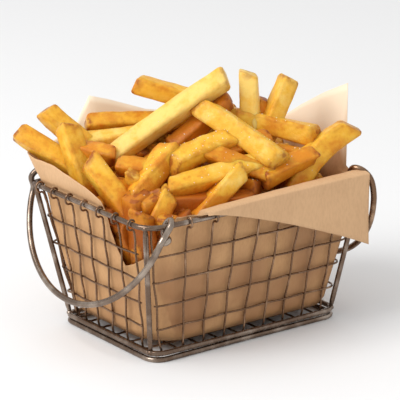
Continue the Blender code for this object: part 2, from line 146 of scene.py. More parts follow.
def frames_along(centres: list[Vector], closed: bool) -> list[Matrix]:
    """Return a frame at each point of a run, its Z along the run, without twist.

    Args:
        centres: Points of the run.
        closed: Whether the run joins up.

    Returns:
        One frame for each point.
    """
    frames = []
    count = len(centres)
    normal = None
    for index, centre in enumerate(centres):
        before = centres[index - 1] if index or closed else centre
        after = centres[(index + 1) % count] if index + 1 < count or closed else centre
        tangent = (after - before).normalized()
        if normal is None:
            normal = tangent.orthogonal()
        normal = (normal - tangent * normal.dot(tangent)).normalized()
        turned = Matrix((normal, tangent.cross(normal), tangent)).transposed()
        frames.append(Matrix.Translation(centre) @ turned.to_4x4())
    return frames


def drawn_wire(
    centres: list[Vector], radius: float, sides: int = 10, closed: bool = False
) -> bmesh.types.BMesh:
    """Draw one round wire along a run of points.

    Args:
        centres: Centre line of the wire.
        radius: Radius of the wire.
        sides: Number of sides of its section.
        closed: Whether the wire joins up as a ring.

    Returns:
        A closed mesh of the wire.
    """
    mesh = bmesh.new()
    frames = frames_along(centres, closed)
    bmesh.ops.create_circle(mesh, segments=sides, radius=radius, matrix=frames[0])
    edges = list(mesh.edges)
    first_edges = list(edges)
    for index in range(1, len(frames)):
        grown = bmesh.ops.extrude_edge_only(mesh, edges=edges)["geom"]
        verts = [item for item in grown if isinstance(item, bmesh.types.BMVert)]
        known = set(verts)
        edges = [
            item
            for item in grown
            if isinstance(item, bmesh.types.BMEdge) and known.issuperset(item.verts)
        ]
        move = frames[index] @ frames[index - 1].inverted()
        bmesh.ops.transform(mesh, matrix=move, verts=verts)
    if closed:
        bmesh.ops.bridge_loops(mesh, edges=first_edges + edges)
    else:
        for loop_edges, at in ((first_edges, frames[0]), (edges, frames[-1])):
            ring = list({vert for edge in loop_edges for vert in edge.verts})
            bmesh.ops.scale(mesh, vec=(0.72, 0.72, 1.0), space=at.inverted(), verts=ring)
        bmesh.ops.holes_fill(mesh, edges=first_edges + edges, sides=sides)
    bmesh.ops.recalc_face_normals(mesh, faces=mesh.faces)
    return mesh


def stored(name: str, mesh: bmesh.types.BMesh) -> bpy.types.Mesh:
    """Return a bmesh stored under a name, and free it.

    Args:
        name: Name of the stored mesh.
        mesh: The bmesh.

    Returns:
        The stored mesh.
    """
    data = bpy.data.meshes.new(name)
    mesh.to_mesh(data)
    mesh.free()
    return data


def in_scene(name: str, data: bpy.types.ID) -> bpy.types.Object:
    """Return a new object that the scene holds.

    Args:
        name: Name of the object.
        data: Its mesh, light or camera.

    Returns:
        The object, at the origin.
    """
    made = bpy.data.objects.new(name, data)
    bpy.context.scene.collection.objects.link(made)
    return made


def joined(meshes: list[bmesh.types.BMesh]) -> bmesh.types.BMesh:
    """Return one mesh that holds all the given ones, which are freed.

    Args:
        meshes: The meshes.

    Returns:
        The new mesh.
    """
    whole = bmesh.new()
    for mesh in meshes:
        data = stored("joining", mesh)
        whole.from_mesh(data)
        bpy.data.meshes.remove(data)
    return whole


def set_piece(
    name: str,
    mesh: bmesh.types.BMesh,
    finish: bpy.types.Material,
    body: str,
    stands_for: tuple[str, ...] = (),
) -> bpy.types.Object:
    """Turn a mesh in millimetres into a finished piece that rides its body.

    Args:
        name: Name of the piece.
        mesh: The mesh, which is freed.
        finish: Its material.
        body: Body that it rides.
        stands_for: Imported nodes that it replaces.

    Returns:
        The new object, at the origin.
    """
    bmesh.ops.translate(mesh, vec=(CENTRING, 0.0, 0.0), verts=mesh.verts)
    bmesh.ops.scale(mesh, vec=(MM, MM, MM), verts=mesh.verts)
    data = stored(name, mesh)
    data.materials.append(finish)
    data.shade_smooth()
    piece = in_scene(name, data)
    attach(piece, body)
    if stands_for:
        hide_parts(*stands_for)
    LOG.info("%s: %d faces", name, len(data.polygons))
    return piece


# ---------------------------------------------------------------- finishes


class FinishBoard:
    """Lays out and wires the nodes of one finish or shared effect."""

    def __init__(self, tree: bpy.types.NodeTree) -> None:
        """Keep the tree that the nodes go on."""
        self.tree = tree

    def node(self, kind: str, **settings: object) -> bpy.types.Node:
        """Return a new node with its properties set.

        Args:
            kind: Blender's name for the kind of node.
            settings: Properties to set on it.

        Returns:
            The node.
        """
        made = self.tree.nodes.new(kind)
        for name, value in settings.items():
            setattr(made, name, value)
        return made

    def feed(self, node: bpy.types.Node, socket: str | int, source: object) -> None:
        """Link a socket to an input, or set the input to a plain value.

        Args:
            node: The node.
            socket: Name or number of its input.
            source: A socket to link, or a plain value.
        """
        target = node.inputs[socket]
        if isinstance(source, bpy.types.NodeSocket):
            self.tree.links.new(source, target)
        else:
            target.default_value = source

    def maths(self, operation: str, *values: object, clamp: bool = False) -> object:
        """Return the output of one sum on numbers or sockets.

        Args:
            operation: Blender's name for the sum.
            values: Numbers or sockets.
            clamp: Whether the result is kept between 0 and 1.

        Returns:
            The output socket.
        """
        made = self.node("ShaderNodeMath", operation=operation, use_clamp=clamp)
        for index, value in enumerate(values):
            self.feed(made, index, value)
        return made.outputs[0]

    def mixed(self, share: object, first: object, second: object) -> object:
        """Return the colour at a share of the way between two colours.

        Args:
            share: Share of the second colour.
            first: Colour at 0.
            second: Colour at 1.

        Returns:
            The output socket.
        """
        made = self.node("ShaderNodeMix", data_type="RGBA")
        self.feed(made, 0, share)
        self.feed(made, 6, first)
        self.feed(made, 7, second)
        return made.outputs[2]

    def ranged(self, value: object, low: object, high: object, to: tuple = (0.0, 1.0)) -> object:
        """Return a value taken smoothly from one range to another.

        Args:
            value: Socket that is read.
            low: Value that is taken to the first end.
            high: Value that is taken to the other end.
            to: The two ends.

        Returns:
            The output socket.
        """
        made = self.node("ShaderNodeMapRange", interpolation_type="SMOOTHSTEP")
        for index, item in enumerate((value, low, high, *to)):
            self.feed(made, index, item)
        return made.outputs[0]

    def own_place(self) -> object:
        """Return the place on the piece, in its own coordinates."""
        return self.node("ShaderNodeTexCoord").outputs["Object"]

    def marked(self, label: str) -> object:
        """Return the value of one attribute of the piece."""
        return self.node("ShaderNodeAttribute", attribute_name=label).outputs["Fac"]

    def placed(self, group: bpy.types.NodeTree, **values: object) -> bpy.types.Node:
        """Return a shared effect placed here with its own values.

        Args:
            group: Node group of the effect.
            values: Its inputs, by their names in lower case.

        Returns:
            The node.
        """
        made = self.node("ShaderNodeGroup", node_tree=group)
        for name, value in values.items():
            self.feed(made, name.replace("_", " ").capitalize(), value)
        return made


def shared_effect(name: str, inputs: dict[str, object], output: str) -> tuple:
    """Start a node group with named inputs and one output.

    Args:
        name: Name of the effect.
        inputs: Default of each input; None makes it a vector.
        output: Name of its output.

    Returns:
        The group, its board, its input node and its output node.
    """
    group = bpy.data.node_groups.new(name, "ShaderNodeTree")
    for label, default in inputs.items():
        kind = "NodeSocketVector" if default is None else "NodeSocketFloat"
        socket = group.interface.new_socket(label, in_out="INPUT", socket_type=kind)
        if default is not None:
            socket.default_value = default
    group.interface.new_socket(output, in_out="OUTPUT", socket_type="NodeSocketFloat")
    board = FinishBoard(group)
    return group, board, board.node("NodeGroupInput"), board.node("NodeGroupOutput")


def patches_effect() -> bpy.types.NodeTree:
    """Return the effect that spreads soft uneven patches over a surface.

    Returns:
        The node group.
    """
    inputs = {"Place": None, "Scale": 100.0, "Detail": 3.0, "Low": 0.4, "High": 0.6}
    group, board, given, result = shared_effect("uneven_patches", inputs, "Mask")
    cloud = board.node("ShaderNodeTexNoise")
    board.feed(cloud, "Vector", given.outputs["Place"])
    board.feed(cloud, "Scale", given.outputs["Scale"])
    board.feed(cloud, "Detail", given.outputs["Detail"])
    mask = board.ranged(cloud.outputs[0], given.outputs["Low"], given.outputs["High"])
    board.feed(result, "Mask", mask)
    return group


def relief_effect() -> bpy.types.NodeTree:
    """Return the effect that makes a fine and a coarse relief in one height.

    Returns:
        The node group.
    """
    inputs = {"Place": None, "Coarse": 300.0, "Fine": 1200.0, "Share": 0.4}
    group, board, given, result = shared_effect("surface_relief", inputs, "Height")
    heights = []
    for scale in ("Coarse", "Fine"):
        cloud = board.node("ShaderNodeTexNoise")
        board.feed(cloud, "Vector", given.outputs["Place"])
        board.feed(cloud, "Scale", given.outputs[scale])
        board.feed(cloud, "Detail", 2.0)
        heights.append(cloud.outputs[0])
    fine = board.maths("MULTIPLY", heights[1], given.outputs["Share"])
    board.feed(result, "Height", board.maths("ADD", heights[0], fine))
    return group


@dataclass(frozen=True)
class Effects:
    """The node groups that several finishes share."""

    patches: bpy.types.NodeTree
    relief: bpy.types.NodeTree

    def patchy(
        self,
        board: FinishBoard,
        place: object,
        scale: float,
        detail: float,
        low: float,
        high: float,
    ) -> object:
        """Place the uneven patches on a board.

        Args:
            board: Board of the finish.
            place: Socket that gives the place on the surface.
            scale: Patches for each metre.
            detail: How finely their outlines are broken up.
            low: Noise that is just outside a patch.
            high: Noise that is fully inside one.

        Returns:
            The socket of their mask.
        """
        return board.placed(
            self.patches, place=place, scale=scale, detail=detail, low=low, high=high
        ).outputs[0]

    def uneven(
        self, board: FinishBoard, place: object, coarse: float, fine: float, share: float
    ) -> object:
        """Place the fine and coarse relief on a board.

        Args:
            board: Board of the finish.
            place: Socket that gives the place on the surface.
            coarse: Coarse bumps for each metre.
            fine: Fine bumps for each metre.
            share: Height of the fine bumps as a share of the coarse ones.

        Returns:
            The socket of its height.
        """
        return board.placed(
            self.relief, place=place, coarse=coarse, fine=fine, share=share
        ).outputs[0]


def blank_finish(name: str) -> tuple[bpy.types.Material, FinishBoard, bpy.types.Node]:
    """Return a new material with its board and its shader node.

    Args:
        name: Name of the material.

    Returns:
        The material, its board and its Principled shader.
    """
    material = bpy.data.materials.new(name)
    material.use_nodes = True
    return (
        material,
        FinishBoard(material.node_tree),
        material.node_tree.nodes["Principled BSDF"],
    )


def give_relief(
    board: FinishBoard, shader: bpy.types.Node, height: object, strength: float, depth: float
) -> None:
    """Feed a height to the shader's normal through a Bump node.

    Args:
        board: Board of the finish.
        shader: Its shader node.
        height: Socket of the height.
        strength: Strength of the relief.
        depth: Its depth in metres.
    """
    bump = board.node("ShaderNodeBump")
    board.feed(bump, "Strength", strength)
    board.feed(bump, "Distance", depth)
    board.feed(bump, "Height", height)
    board.feed(shader, "Normal", bump.outputs[0])


@dataclass(frozen=True)
class BronzeFinish:
    """Dark antique bronze plating on steel wire, rubbed lighter in places."""

    dark: tuple = (0.165, 0.110, 0.078, 1.0)
    rubbed: tuple = (0.43, 0.355, 0.295, 1.0)
    roughness: tuple[float, float] = (0.22, 0.34)

    def make(self, effects: Effects, name: str, rub: float) -> bpy.types.Material:
        """Build the material.

        Args:
            effects: Shared effects.
            name: Name of the material.
            rub: How much of it is rubbed bright, from 0 to 1.

        Returns:
            The material.
        """
        material, board, shader = blank_finish(name)
        place = board.own_place()
        low, high = blend(0.62, 0.20, rub), blend(0.95, 0.75, rub)
        worn = effects.patchy(board, place, 90.0, 2.0, low, high)
        dull = effects.patchy(board, place, 900.0, 3.0, 0.35, 0.7)
        height = effects.uneven(board, place, 700.0, 2600.0, 0.5)
        board.feed(shader, "Base Color", board.mixed(worn, self.dark, self.rubbed))
        board.feed(shader, "Roughness", board.ranged(dull, 0.0, 1.0, self.roughness))
        board.feed(shader, "Metallic", 0.92)
        give_relief(board, shader, height, 0.10, 0.0002)
        return material


@dataclass(frozen=True)
class KraftFinish:
    """Unbleached greaseproof paper: fibres, soft marks, greasy spots deepened by painted shade, and
    painted light through its thin top.
    """

    sheet: tuple = (0.63, 0.362, 0.168, 1.0)
    shade: tuple = (0.52, 0.280, 0.120, 1.0)
    # Greasy spots, deepened by painted shade low on the walls and on the front.
    greased_and_shaded: tuple = (0.36, 0.172, 0.072, 1.0)
    # Painted light shining through the thin sheet above the rim.
    dry_and_backlit: tuple = (0.98, 0.83, 0.64, 1.0)
    roughness: tuple[float, float] = (0.72, 0.52)

    def make(self, effects: Effects, name: str) -> bpy.types.Material:
        """Build the material, which reads the paper's own attributes: greasy spots deepened by
        painted shade, and painted light through the sheet.

        Args:
            effects: Shared effects.
            name: Name of the material.

        Returns:
            The material.
        """
        material, board, shader = blank_finish(name)
        place = board.own_place()
        stretch = board.node("ShaderNodeMapping")
        board.feed(stretch, "Vector", place)
        board.feed(stretch, "Scale", (1.0, 1.0, 0.35))
        fibres = effects.patchy(board, stretch.outputs[0], 900.0, 5.0, 0.38, 0.68)
        clouds = effects.patchy(board, place, 45.0, 2.0, 0.35, 0.7)
        # Greasy spots, with painted shade that darkens the walls low down and on the front.
        grease_and_shade = board.marked("grease_and_shade")
        soaked = effects.patchy(board, place, 38.0, 2.0, 0.18, 0.75)
        spots = board.maths("MULTIPLY", grease_and_shade, soaked, clamp=True)
        marks = board.maths("MULTIPLY", fibres, 0.45)
        marks = board.maths("MULTIPLY_ADD", clouds, 0.35, marks)
        toned = board.mixed(marks, self.sheet, self.shade)
        # Painted light: the sheet above the rim and its raised corners are lightened as if lit
        # through.
        soft = board.marked("dry_and_backlit")
        pale = board.mixed(soft, board.mixed(spots, toned, self.greased_and_shaded), self.dry_and_backlit)
        board.feed(shader, "Base Color", pale)
        board.feed(shader, "Roughness", board.ranged(spots, 0.0, 1.0, self.roughness))
        board.feed(shader, "Specular IOR Level", 0.35)
        height = effects.uneven(board, stretch.outputs[0], 220.0, 1500.0, 0.35)
        give_relief(board, shader, height, 0.3, 0.0004)
        return material


@dataclass(frozen=True)
class PotatoFinish:
    """Fried potato: blond faces, golden mottling, browned edges, tips and spots."""

    blond: tuple = (0.91, 0.64, 0.170, 1.0)
    golden: tuple = (0.84, 0.465, 0.042, 1.0)
    orange: tuple = (0.68, 0.245, 0.014, 1.0)
    # Darkest fries, also used as painted shade deep in the heap.
    deep: tuple = (0.42, 0.105, 0.008, 1.0)
    brown: tuple = (0.34, 0.090, 0.010, 1.0)

    def make(self, effects: Effects, name: str, depth: float = 0.0) -> bpy.types.Material:
        """Build the material.

        Args:
            effects: Shared effects.
            name: Name of the material.
            depth: Painted shade for the food deep in the heap, as how much darker than the top
                sticks it is, from 0 to 1.

        Returns:
            The material, which reads the attributes edge, tip and tone; tone also carries painted
            shade deep in the heap.
        """
        material, board, shader = blank_finish(name)
        place = board.own_place()
        edge, tip, tone = (board.marked(label) for label in MARKS)
        clouds = effects.patchy(board, place, 110.0, 4.0, 0.30, 0.72)
        speckle = effects.patchy(board, place, 420.0, 5.0, 0.40, 0.74)
        fried = board.maths("MULTIPLY_ADD", clouds, 0.42, board.maths("MULTIPLY", tone, 1.15))
        fried = board.maths("ADD", fried, board.maths("MULTIPLY", speckle, 0.14))
        # Painted shade: a positive depth darkens the whole finish.
        fried = board.maths("ADD", fried, -0.12 + 0.45 * depth, clamp=True)
        low = board.mixed(board.ranged(fried, 0.0, 0.55), self.blond, self.golden)
        colour = board.mixed(board.ranged(fried, 0.45, 0.95), low, self.orange)
        # Dark tones, from the darkest fries and from painted shade deep in the heap, turn deep
        # brown.
        colour = board.mixed(board.ranged(tone, 0.75, 1.1), colour, self.deep)
        rim = board.maths("MULTIPLY", board.ranged(edge, 0.55, 1.0), 0.36)
        ends = board.maths("MULTIPLY", board.ranged(tip, 0.10, 0.7), 1.1)
        browned = board.maths("MAXIMUM", rim, ends)
        burnt = effects.patchy(board, place, 190.0, 4.0, 0.44, 0.62)
        browned = board.maths("MULTIPLY", browned, board.maths("MULTIPLY_ADD", burnt, 0.75, 0.3))
        browned = board.maths(
            "MULTIPLY", browned, board.maths("MULTIPLY_ADD", tone, 0.9, 0.45), clamp=True
        )
        board.feed(shader, "Base Color", board.mixed(browned, colour, self.brown))
        board.feed(shader, "Roughness", board.ranged(speckle, 0.0, 1.0, (0.38, 0.56)))
        board.feed(shader, "Specular IOR Level", 0.25)
        board.feed(shader, "Subsurface Weight", 0.30)
        board.feed(shader, "Subsurface Radius", (1.0, 0.62, 0.25))
        board.feed(shader, "Subsurface Scale", 0.0018)
        height = effects.uneven(board, place, 330.0, 1100.0, 0.6)
        give_relief(board, shader, height, 0.42, 0.0009)
        return material


@dataclass(frozen=True)
class SaltFinish:
    """White salt crystals."""

    colour: tuple = (0.95, 0.86, 0.74, 1.0)
    frosted: tuple = (0.98, 0.93, 0.86, 1.0)

    def make(self, effects: Effects, name: str) -> bpy.types.Material:
        """Build the material.

        Args:
            effects: Shared effects.
            name: Name of the material.

        Returns:
            The material.
        """
        material, board, shader = blank_finish(name)
        place = board.own_place()
        frost = effects.patchy(board, place, 2500.0, 2.0, 0.3, 0.7)
        board.feed(shader, "Base Color", board.mixed(frost, self.colour, self.frosted))
        board.feed(shader, "Roughness", board.ranged(frost, 0.0, 1.0, (0.2, 0.45)))
        board.feed(shader, "Subsurface Weight", 0.3)
        board.feed(shader, "Subsurface Scale", 0.0005)
        return material


@dataclass(frozen=True)
class FloorFinish:
    """Plain pale studio floor."""

    colour: tuple = (0.865, 0.865, 0.867, 1.0)

    def make(self, name: str) -> bpy.types.Material:
        """Build the material.

        Args:
            name: Name of the material.

        Returns:
            The material.
        """
        material, board, shader = blank_finish(name)
        board.feed(shader, "Base Color", self.colour)
        board.feed(shader, "Roughness", 0.75)
        board.feed(shader, "Specular IOR Level", 0.2)
        return material


# ---------------------------------------------------------------- wire basket


@dataclass
class BasketShape:
    """The tapered rounded rectangle that every wire of the basket follows."""

    rim_length: float = 155.5
    rim_width: float = 112.0
    rim_height: float = 82.0
    rim_corner: float = 11.0
    base_length: float = 128.6
    base_width: float = 86.0
    base_corner: float = 8.5
    base_heights: tuple[float, float] = (1.5, 5.0)
    tight_corner: float = 5.5
    inset_top: float = 0.9
    inset_foot: float = 2.4

    def sizes(self, height: float, inset: float = 0.0) -> tuple[float, float, float]:
        """Return half length, half width and corner radius at a height.

        Args:
            height: Height above the table.
            inset: Distance inside the centre line of the frame.

        Returns:
            The three sizes.
        """
        share = (height - self.base_heights[1]) / (self.rim_height - self.base_heights[1])
        return (
            blend(self.base_length, self.rim_length, share) / 2 - inset,
            blend(self.base_width, self.rim_width, share) / 2 - inset,
            max(blend(self.base_corner, self.rim_corner, share) - inset, 2.0),
        )

    def corner_at(self, side_x: int, side_y: int, height: float, inset: float = 0.0) -> float:
        """Return one corner's radius; the back left one was bent tighter than the rest.

        Args:
            side_x: -1 for the left end, 1 for the right one.
            side_y: -1 for the front, 1 for the back.
            height: Height above the table.
            inset: Distance inside the centre line of the frame.

        Returns:
            The radius.
        """
        corner = self.sizes(height, inset)[2]
        tight = (side_x, side_y) == (-1, 1)
        return min(corner, max(self.tight_corner - inset, 2.0)) if tight else corner

    def wire_inset(self, height: float) -> float:
        """Return how far inside the frame the woven wires run."""
        return blend(self.inset_foot, self.inset_top, height / self.rim_height)

    def ring(self, height: float, inset: float, spacing: float) -> list[tuple[Vector, Vector]]:
        """Return points round the basket at one height with their outward directions.

        Args:
            height: Height of the ring.
            inset: Distance inside the centre line of the frame.
            spacing: Rough distance between the points.

        Returns:
            Point and direction pairs, anticlockwise from the right end.
        """
        half_length, half_width, _ = self.sizes(height, inset)
        corners = ((1, 1, 0.0), (-1, 1, 90.0), (-1, -1, 180.0), (1, -1, 270.0))
        pairs: list[tuple[Vector, Vector]] = []
        for side_x, side_y, start in corners:
            corner = self.corner_at(side_x, side_y, height, inset)
            in_x, in_y = side_x * (half_length - corner), side_y * (half_width - corner)
            middle = Vector((in_x, in_y, height))
            steps = max(4, round(corner * math.pi / 2 / spacing))
            for step in range(steps + 1):
                angle = math.radians(start + 90.0 * step / steps)
                outward = Vector((math.cos(angle), math.sin(angle), 0.0))
                pairs.append((middle + outward * corner, outward))
        filled: list[tuple[Vector, Vector]] = []
        for (point, outward), (following, turned) in zip(pairs, pairs[1:] + pairs[:1]):
            filled.append((point, outward))
            steps = round((following - point).length / spacing)
            for step in range(1, steps):
                share = step / steps
                way = outward.lerp(turned, share).normalized()
                filled.append((point.lerp(following, share), way))
        return filled


@dataclass
class WireBasket:
    """The welded frame with its woven wires."""

    shape: BasketShape = field(default_factory=BasketShape)
    frame_radius: float = 1.5
    frame_sides: int = 14
    frame_wave: float = 0.12
    weld_radius: float = 2.0
    weld_depth: float = 0.6
    post_arcs: tuple[float, float] = (22.0, 45.0)
    front_left_arcs: tuple[float, float] = (36.0, 27.0)
    wire_radius: float = 0.6
    wire_sides: int = 8
    wire_step: float = 1.3
    wall_steps: int = 18
    layer: float = 1.65
    layer_fade: tuple[float, float] = (7.0, 15.0)
    lowest_bend: float = 6.0
    wall_foot: float = 9.0
    swing: float = 0.45
    long_at_rim: tuple[float, float, float] = (-50.2, 17.86, -0.375)
    long_at_foot: tuple[float, float] = (-42.9, 13.8)
    long_count: int = 8
    leaning: tuple[float, float] = (-73.0, -57.5)
    leaning_top: float = 2.2
    leaning_straight: tuple[float, float] = (8.0, 3.0)
    short_at_rim: tuple[float, float] = (-41.9, 14.77)
    short_at_foot: tuple[float, ...] = (-27.8, -13.8, 0.4, 14.3, 26.8, 35.6, 38.8)
    short_count: int = 7
    floor_heights: tuple[float, float] = (2.4, 3.9)
    floor_bend: float = 3.0
    floor_step: float = 4.0
    foot_round: float = 0.28
    end_gap: float = 0.1
    curl_turn: tuple[int, int, int] = (150, -111, -20)
    curl_reach: tuple[float, float] = (2.5, 2.95)
    curl_out: float = 0.2
    curl_drop: float = 0.4
    neck: tuple[tuple[float, float], ...] = ((2.2, 4.6), (2.8, 7.0))
    neck_end: float = 10.0
    free_end: float = 9.0
    row_heights: tuple[float, ...] = (18.9, 33.3, 47.9, 63.4)
    row_stub: float = 1.6

    def build(self, frame_finish: bpy.types.Material, mesh_finish_painted_reflection: bpy.types.Material) -> None:
        """Build and dress every wire of the basket.

        Args:
            frame_finish: Finish of the thick wires.
            mesh_finish_painted_reflection: Finish of the woven ones, warmer brown as a painted
                reflection of the paper and fries.
        """
        self.frame_rings(frame_finish)
        self.posts(frame_finish)
        self.long_wires(mesh_finish_painted_reflection)
        self.short_wires(mesh_finish_painted_reflection)
        self.rows(mesh_finish_painted_reflection)

    def place_wire(
        self, name: str, mesh: bmesh.types.BMesh, finish: bpy.types.Material, node: str
    ) -> None:
        """Set one finished wire on the basket in place of its node."""
        set_piece(name, mesh, finish, "basket", (node,))

    def frame_rings(self, finish: bpy.types.Material) -> None:
        """Build the rim and the two rings of the base.

        Args:
            finish: Finish of the thick wires.
        """
        rings = (
            ("rim_wire", "rim", self.shape.rim_height),
            ("base_wire_lower", "base_ring_lower", self.shape.base_heights[0]),
            ("base_wire_upper", "base_ring_upper", self.shape.base_heights[1]),
        )
        for name, node, height in rings:
            level = max(height, self.shape.base_heights[1])
            centres = [point for point, _ in self.shape.ring(level, 0.0, 2.5)]
            for index, point in enumerate(centres):
                along = index / len(centres) * math.tau
                point.z = height + self.frame_wave * math.sin(3 * along + height)
            mesh = drawn_wire(centres, self.frame_radius, self.frame_sides, closed=True)
            self.place_wire(name, mesh, finish, node)

    def posts(self, finish: bpy.types.Material) -> None:
        """Build the four uprights, welded to the rim above and the base below.

        Args:
            finish: Finish of the thick wires.
        """
        places = (
            ("front_left", -1, -1),
            ("front_right", 1, -1),
            ("back_left", -1, 1),
            ("back_right", 1, 1),
        )
        top, foot = self.shape.rim_height, self.shape.base_heights[1]
        heights = (top - self.weld_depth, foot + self.weld_depth)
        for place, side_x, side_y in places:
            knots = []
            arcs = self.front_left_arcs if place == "front_left" else self.post_arcs
            for height, arc in zip(heights, arcs):
                half_length, half_width, _ = self.shape.sizes(height)
                corner = self.shape.corner_at(side_x, side_y, height)
                angle = math.radians(arc)
                x = side_x * (half_length - corner + corner * math.cos(angle))
                y = side_y * (half_width - corner + corner * math.sin(angle))
                knots.append(Vector((x, y, height)))
            mesh = drawn_wire(smooth_run(knots, 5.0), self.frame_radius, self.frame_sides)
            for spot in knots:
                weld = Matrix.Translation(spot) @ Matrix.Diagonal((1.0, 1.0, 0.75, 1.0))
                bmesh.ops.create_uvsphere(
                    mesh, u_segments=14, v_segments=8, radius=self.weld_radius, matrix=weld
                )
            self.place_wire(f"post_wire_{place}", mesh, finish, f"post_{place}")

    def long_place(self, index: int, height: float) -> float:
        """Return the x of a wire on the long sides at a height.

        Args:
            index: Number of the wire, from the left.
            height: Height above the table.

        Returns:
            The place along the basket.
        """
        first, step, closing = self.long_at_rim
        at_rim = first + step * index + closing * index * index
        at_foot = self.long_at_foot[0] + self.long_at_foot[1] * index
        return blend(at_foot, at_rim, min(height / self.shape.rim_height, 1.0))

    def short_place(self, index: int, height: float) -> float:
        """Return the y of a wire on the ends at a height; its foot leans back.

        Args:
            index: Number of the wire, from the front.
            height: Height above the table.

        Returns:
            The place across the basket.
        """
        share = min(height / self.shape.rim_height, 1.0)
        at_rim = self.short_at_rim[0] + self.short_at_rim[1] * index
        return blend(self.short_at_foot[index], at_rim, share)

    def rounded_off(self, across: float, height: float) -> float:
        """Return how far the corner takes an end wire in from the end's flat plane.

        Args:
            across: Place across the basket.
            height: Height above the table.

        Returns:
            The distance.
        """
        _, half_width, corner = self.shape.sizes(height, self.shape.wire_inset(height))
        past = min(max(abs(across) - (half_width - corner), 0.0), corner)
        return corner - math.sqrt(corner**2 - past**2)

    def bends(self, parity: int, highest: float) -> list[tuple[float, float]]:
        """Return how an upright wire bends round the level ones.

        Args:
            parity: 0 or 1, which says whether it starts outside or inside.
            highest: Distance below the rim from which it runs straight.

        Returns:
            Height and bend at each crossing, and at both ends.
        """
        bends = [(self.lowest_bend, 0.0)]
        for index, height in enumerate(self.row_heights):
            bends.append((height, -self.swing if (index + parity) % 2 else self.swing))
        bends.append((self.shape.rim_height - highest, 0.0))
        return bends

    def depth_at(self, height: float, bends: list[tuple[float, float]]) -> float:
        """Return how far inside the mesh's middle layer an upright wire runs."""
        return ease(height, *self.layer_fade) * self.layer / 2 + crimp(height, bends)

    def across_floor(self, near: list[Vector], axis: int) -> bmesh.types.BMesh:
        """Draw a wire whose second half mirrors the first.

        Args:
            near: Points of the first half.
            axis: Axis that it's mirrored along.

        Returns:
            The wire's mesh.
        """
        flip = Vector((-1.0, 1.0, 1.0)) if axis == 0 else Vector((1.0, -1.0, 1.0))
        knots = near + [point * flip for point in reversed(near)]
        return drawn_wire(smooth_run(knots, self.wire_step), self.wire_radius, self.wire_sides)

    def upright(
        self, half_width_side: bool, parity: int, floor_height: float
    ) -> list[tuple[float, float]]:
        """Return half of a woven wire's section, from its curled end to its floor.

        Args:
            half_width_side: True for a wire on the long sides.
            parity: 0 or 1, which says whether it starts outside or inside.
            floor_height: Height of its run under the liner.

        Returns:
            Distances from the middle of the basket, with their heights.
        """
        shape = self.shape
        axis = 1 if half_width_side else 0
        top = shape.sizes(shape.rim_height)[axis]
        section = []
        for degrees in range(*self.curl_turn):
            turn = math.radians(degrees)
            out = top + self.curl_out + self.curl_reach[0] * math.cos(turn)
            up = shape.rim_height - self.curl_drop + self.curl_reach[1] * math.sin(turn)
            section.append((out, up))
        for inward, down in self.neck:
            section.append((top - inward, shape.rim_height - down))
        bends = self.bends(parity, self.neck[-1][1])
        for step in range(self.wall_steps + 1):
            share = step / self.wall_steps
            height = blend(shape.rim_height - self.neck_end, self.wall_foot, share)
            half = shape.sizes(height, shape.wire_inset(height))[axis]
            section.append((half - self.depth_at(height, bends), height))
        foot = shape.sizes(shape.base_heights[1], shape.inset_foot)[axis]
        foot += 0.0 if half_width_side else self.end_gap
        rounding = self.floor_bend * self.foot_round
        section.append((foot, floor_height + self.floor_bend))
        section.append((foot - rounding, floor_height + rounding))
        section.append((foot - self.floor_bend, floor_height))
        for step in range(1, 5):
            section.append((foot - self.floor_bend - self.floor_step * step, floor_height))
        return section

    def long_wires(self, finish: bpy.types.Material) -> None:
        """Build the wires that cross the long sides and run under the liner.

        Args:
            finish: Finish of the woven wires.
        """
        for index in range(self.long_count):
            section = self.upright(True, index + 1, self.floor_heights[0])
            near = [
                Vector((self.long_place(index, height), -distance, height))
                for distance, height in section
            ]
            name = f"long_wire_{index + 2}"
            self.place_wire(f"woven_{name}", self.across_floor(near, 1), finish, name)
        self.leaning_wire(finish)

    def leaning_wire(self, finish: bpy.types.Material) -> None:
        """Build the first long wire, which leans along the left corners.

        Args:
            finish: Finish of the woven wires.
        """
        shape = self.shape
        bends = self.bends(0, 5.0)
        straight_low, straight_high = self.leaning_straight
        near = []
        for step in range(23):
            height = blend(shape.rim_height - self.leaning_top, self.wall_foot, step / 22)
            share = (height - self.floor_heights[0]) / (shape.rim_height - self.floor_heights[0])
            depth = self.depth_at(height, bends)
            under_rim = height - shape.rim_height
            depth *= 1.0 - ease(under_rim, -straight_low, -straight_high)
            half_length, half_width, corner = shape.sizes(height, shape.wire_inset(height) + depth)
            along = blend(self.leaning[1], self.leaning[0], share)
            past = max(abs(along) - (half_length - corner), 0.0)
            across = half_width - corner + math.sqrt(max(corner**2 - past**2, 0.0))
            near.append(Vector((along, -across, height)))
        foot, level = near[-1].y, self.floor_heights[0]
        for inward, rise in ((0.5, self.floor_bend), (1.4, 0.9), (3.5, 0.0), (12.0, 0.0)):
            near.append(Vector((self.leaning[1], foot + inward, level + rise)))
        self.place_wire("woven_long_wire_1", self.across_floor(near, 1), finish, "long_wire_1")

    def short_wires(self, finish: bpy.types.Material) -> None:
        """Build the wires that cross the ends and run under the liner.

        Args:
            finish: Finish of the woven wires.
        """
        shape = self.shape
        for index in range(self.short_count):
            section = self.upright(False, index, self.floor_heights[1])
            near = []
            for distance, height in section:
                across = self.short_place(index, height)
                free = height > shape.rim_height - self.free_end
                level = max(height, shape.base_heights[1])
                taken_in = 0.0 if free else self.rounded_off(across, level)
                near.append(Vector((taken_in - distance, across, height)))
            name = f"short_wire_{index + 1}"
            self.place_wire(f"woven_{name}", self.across_floor(near, 0), finish, name)

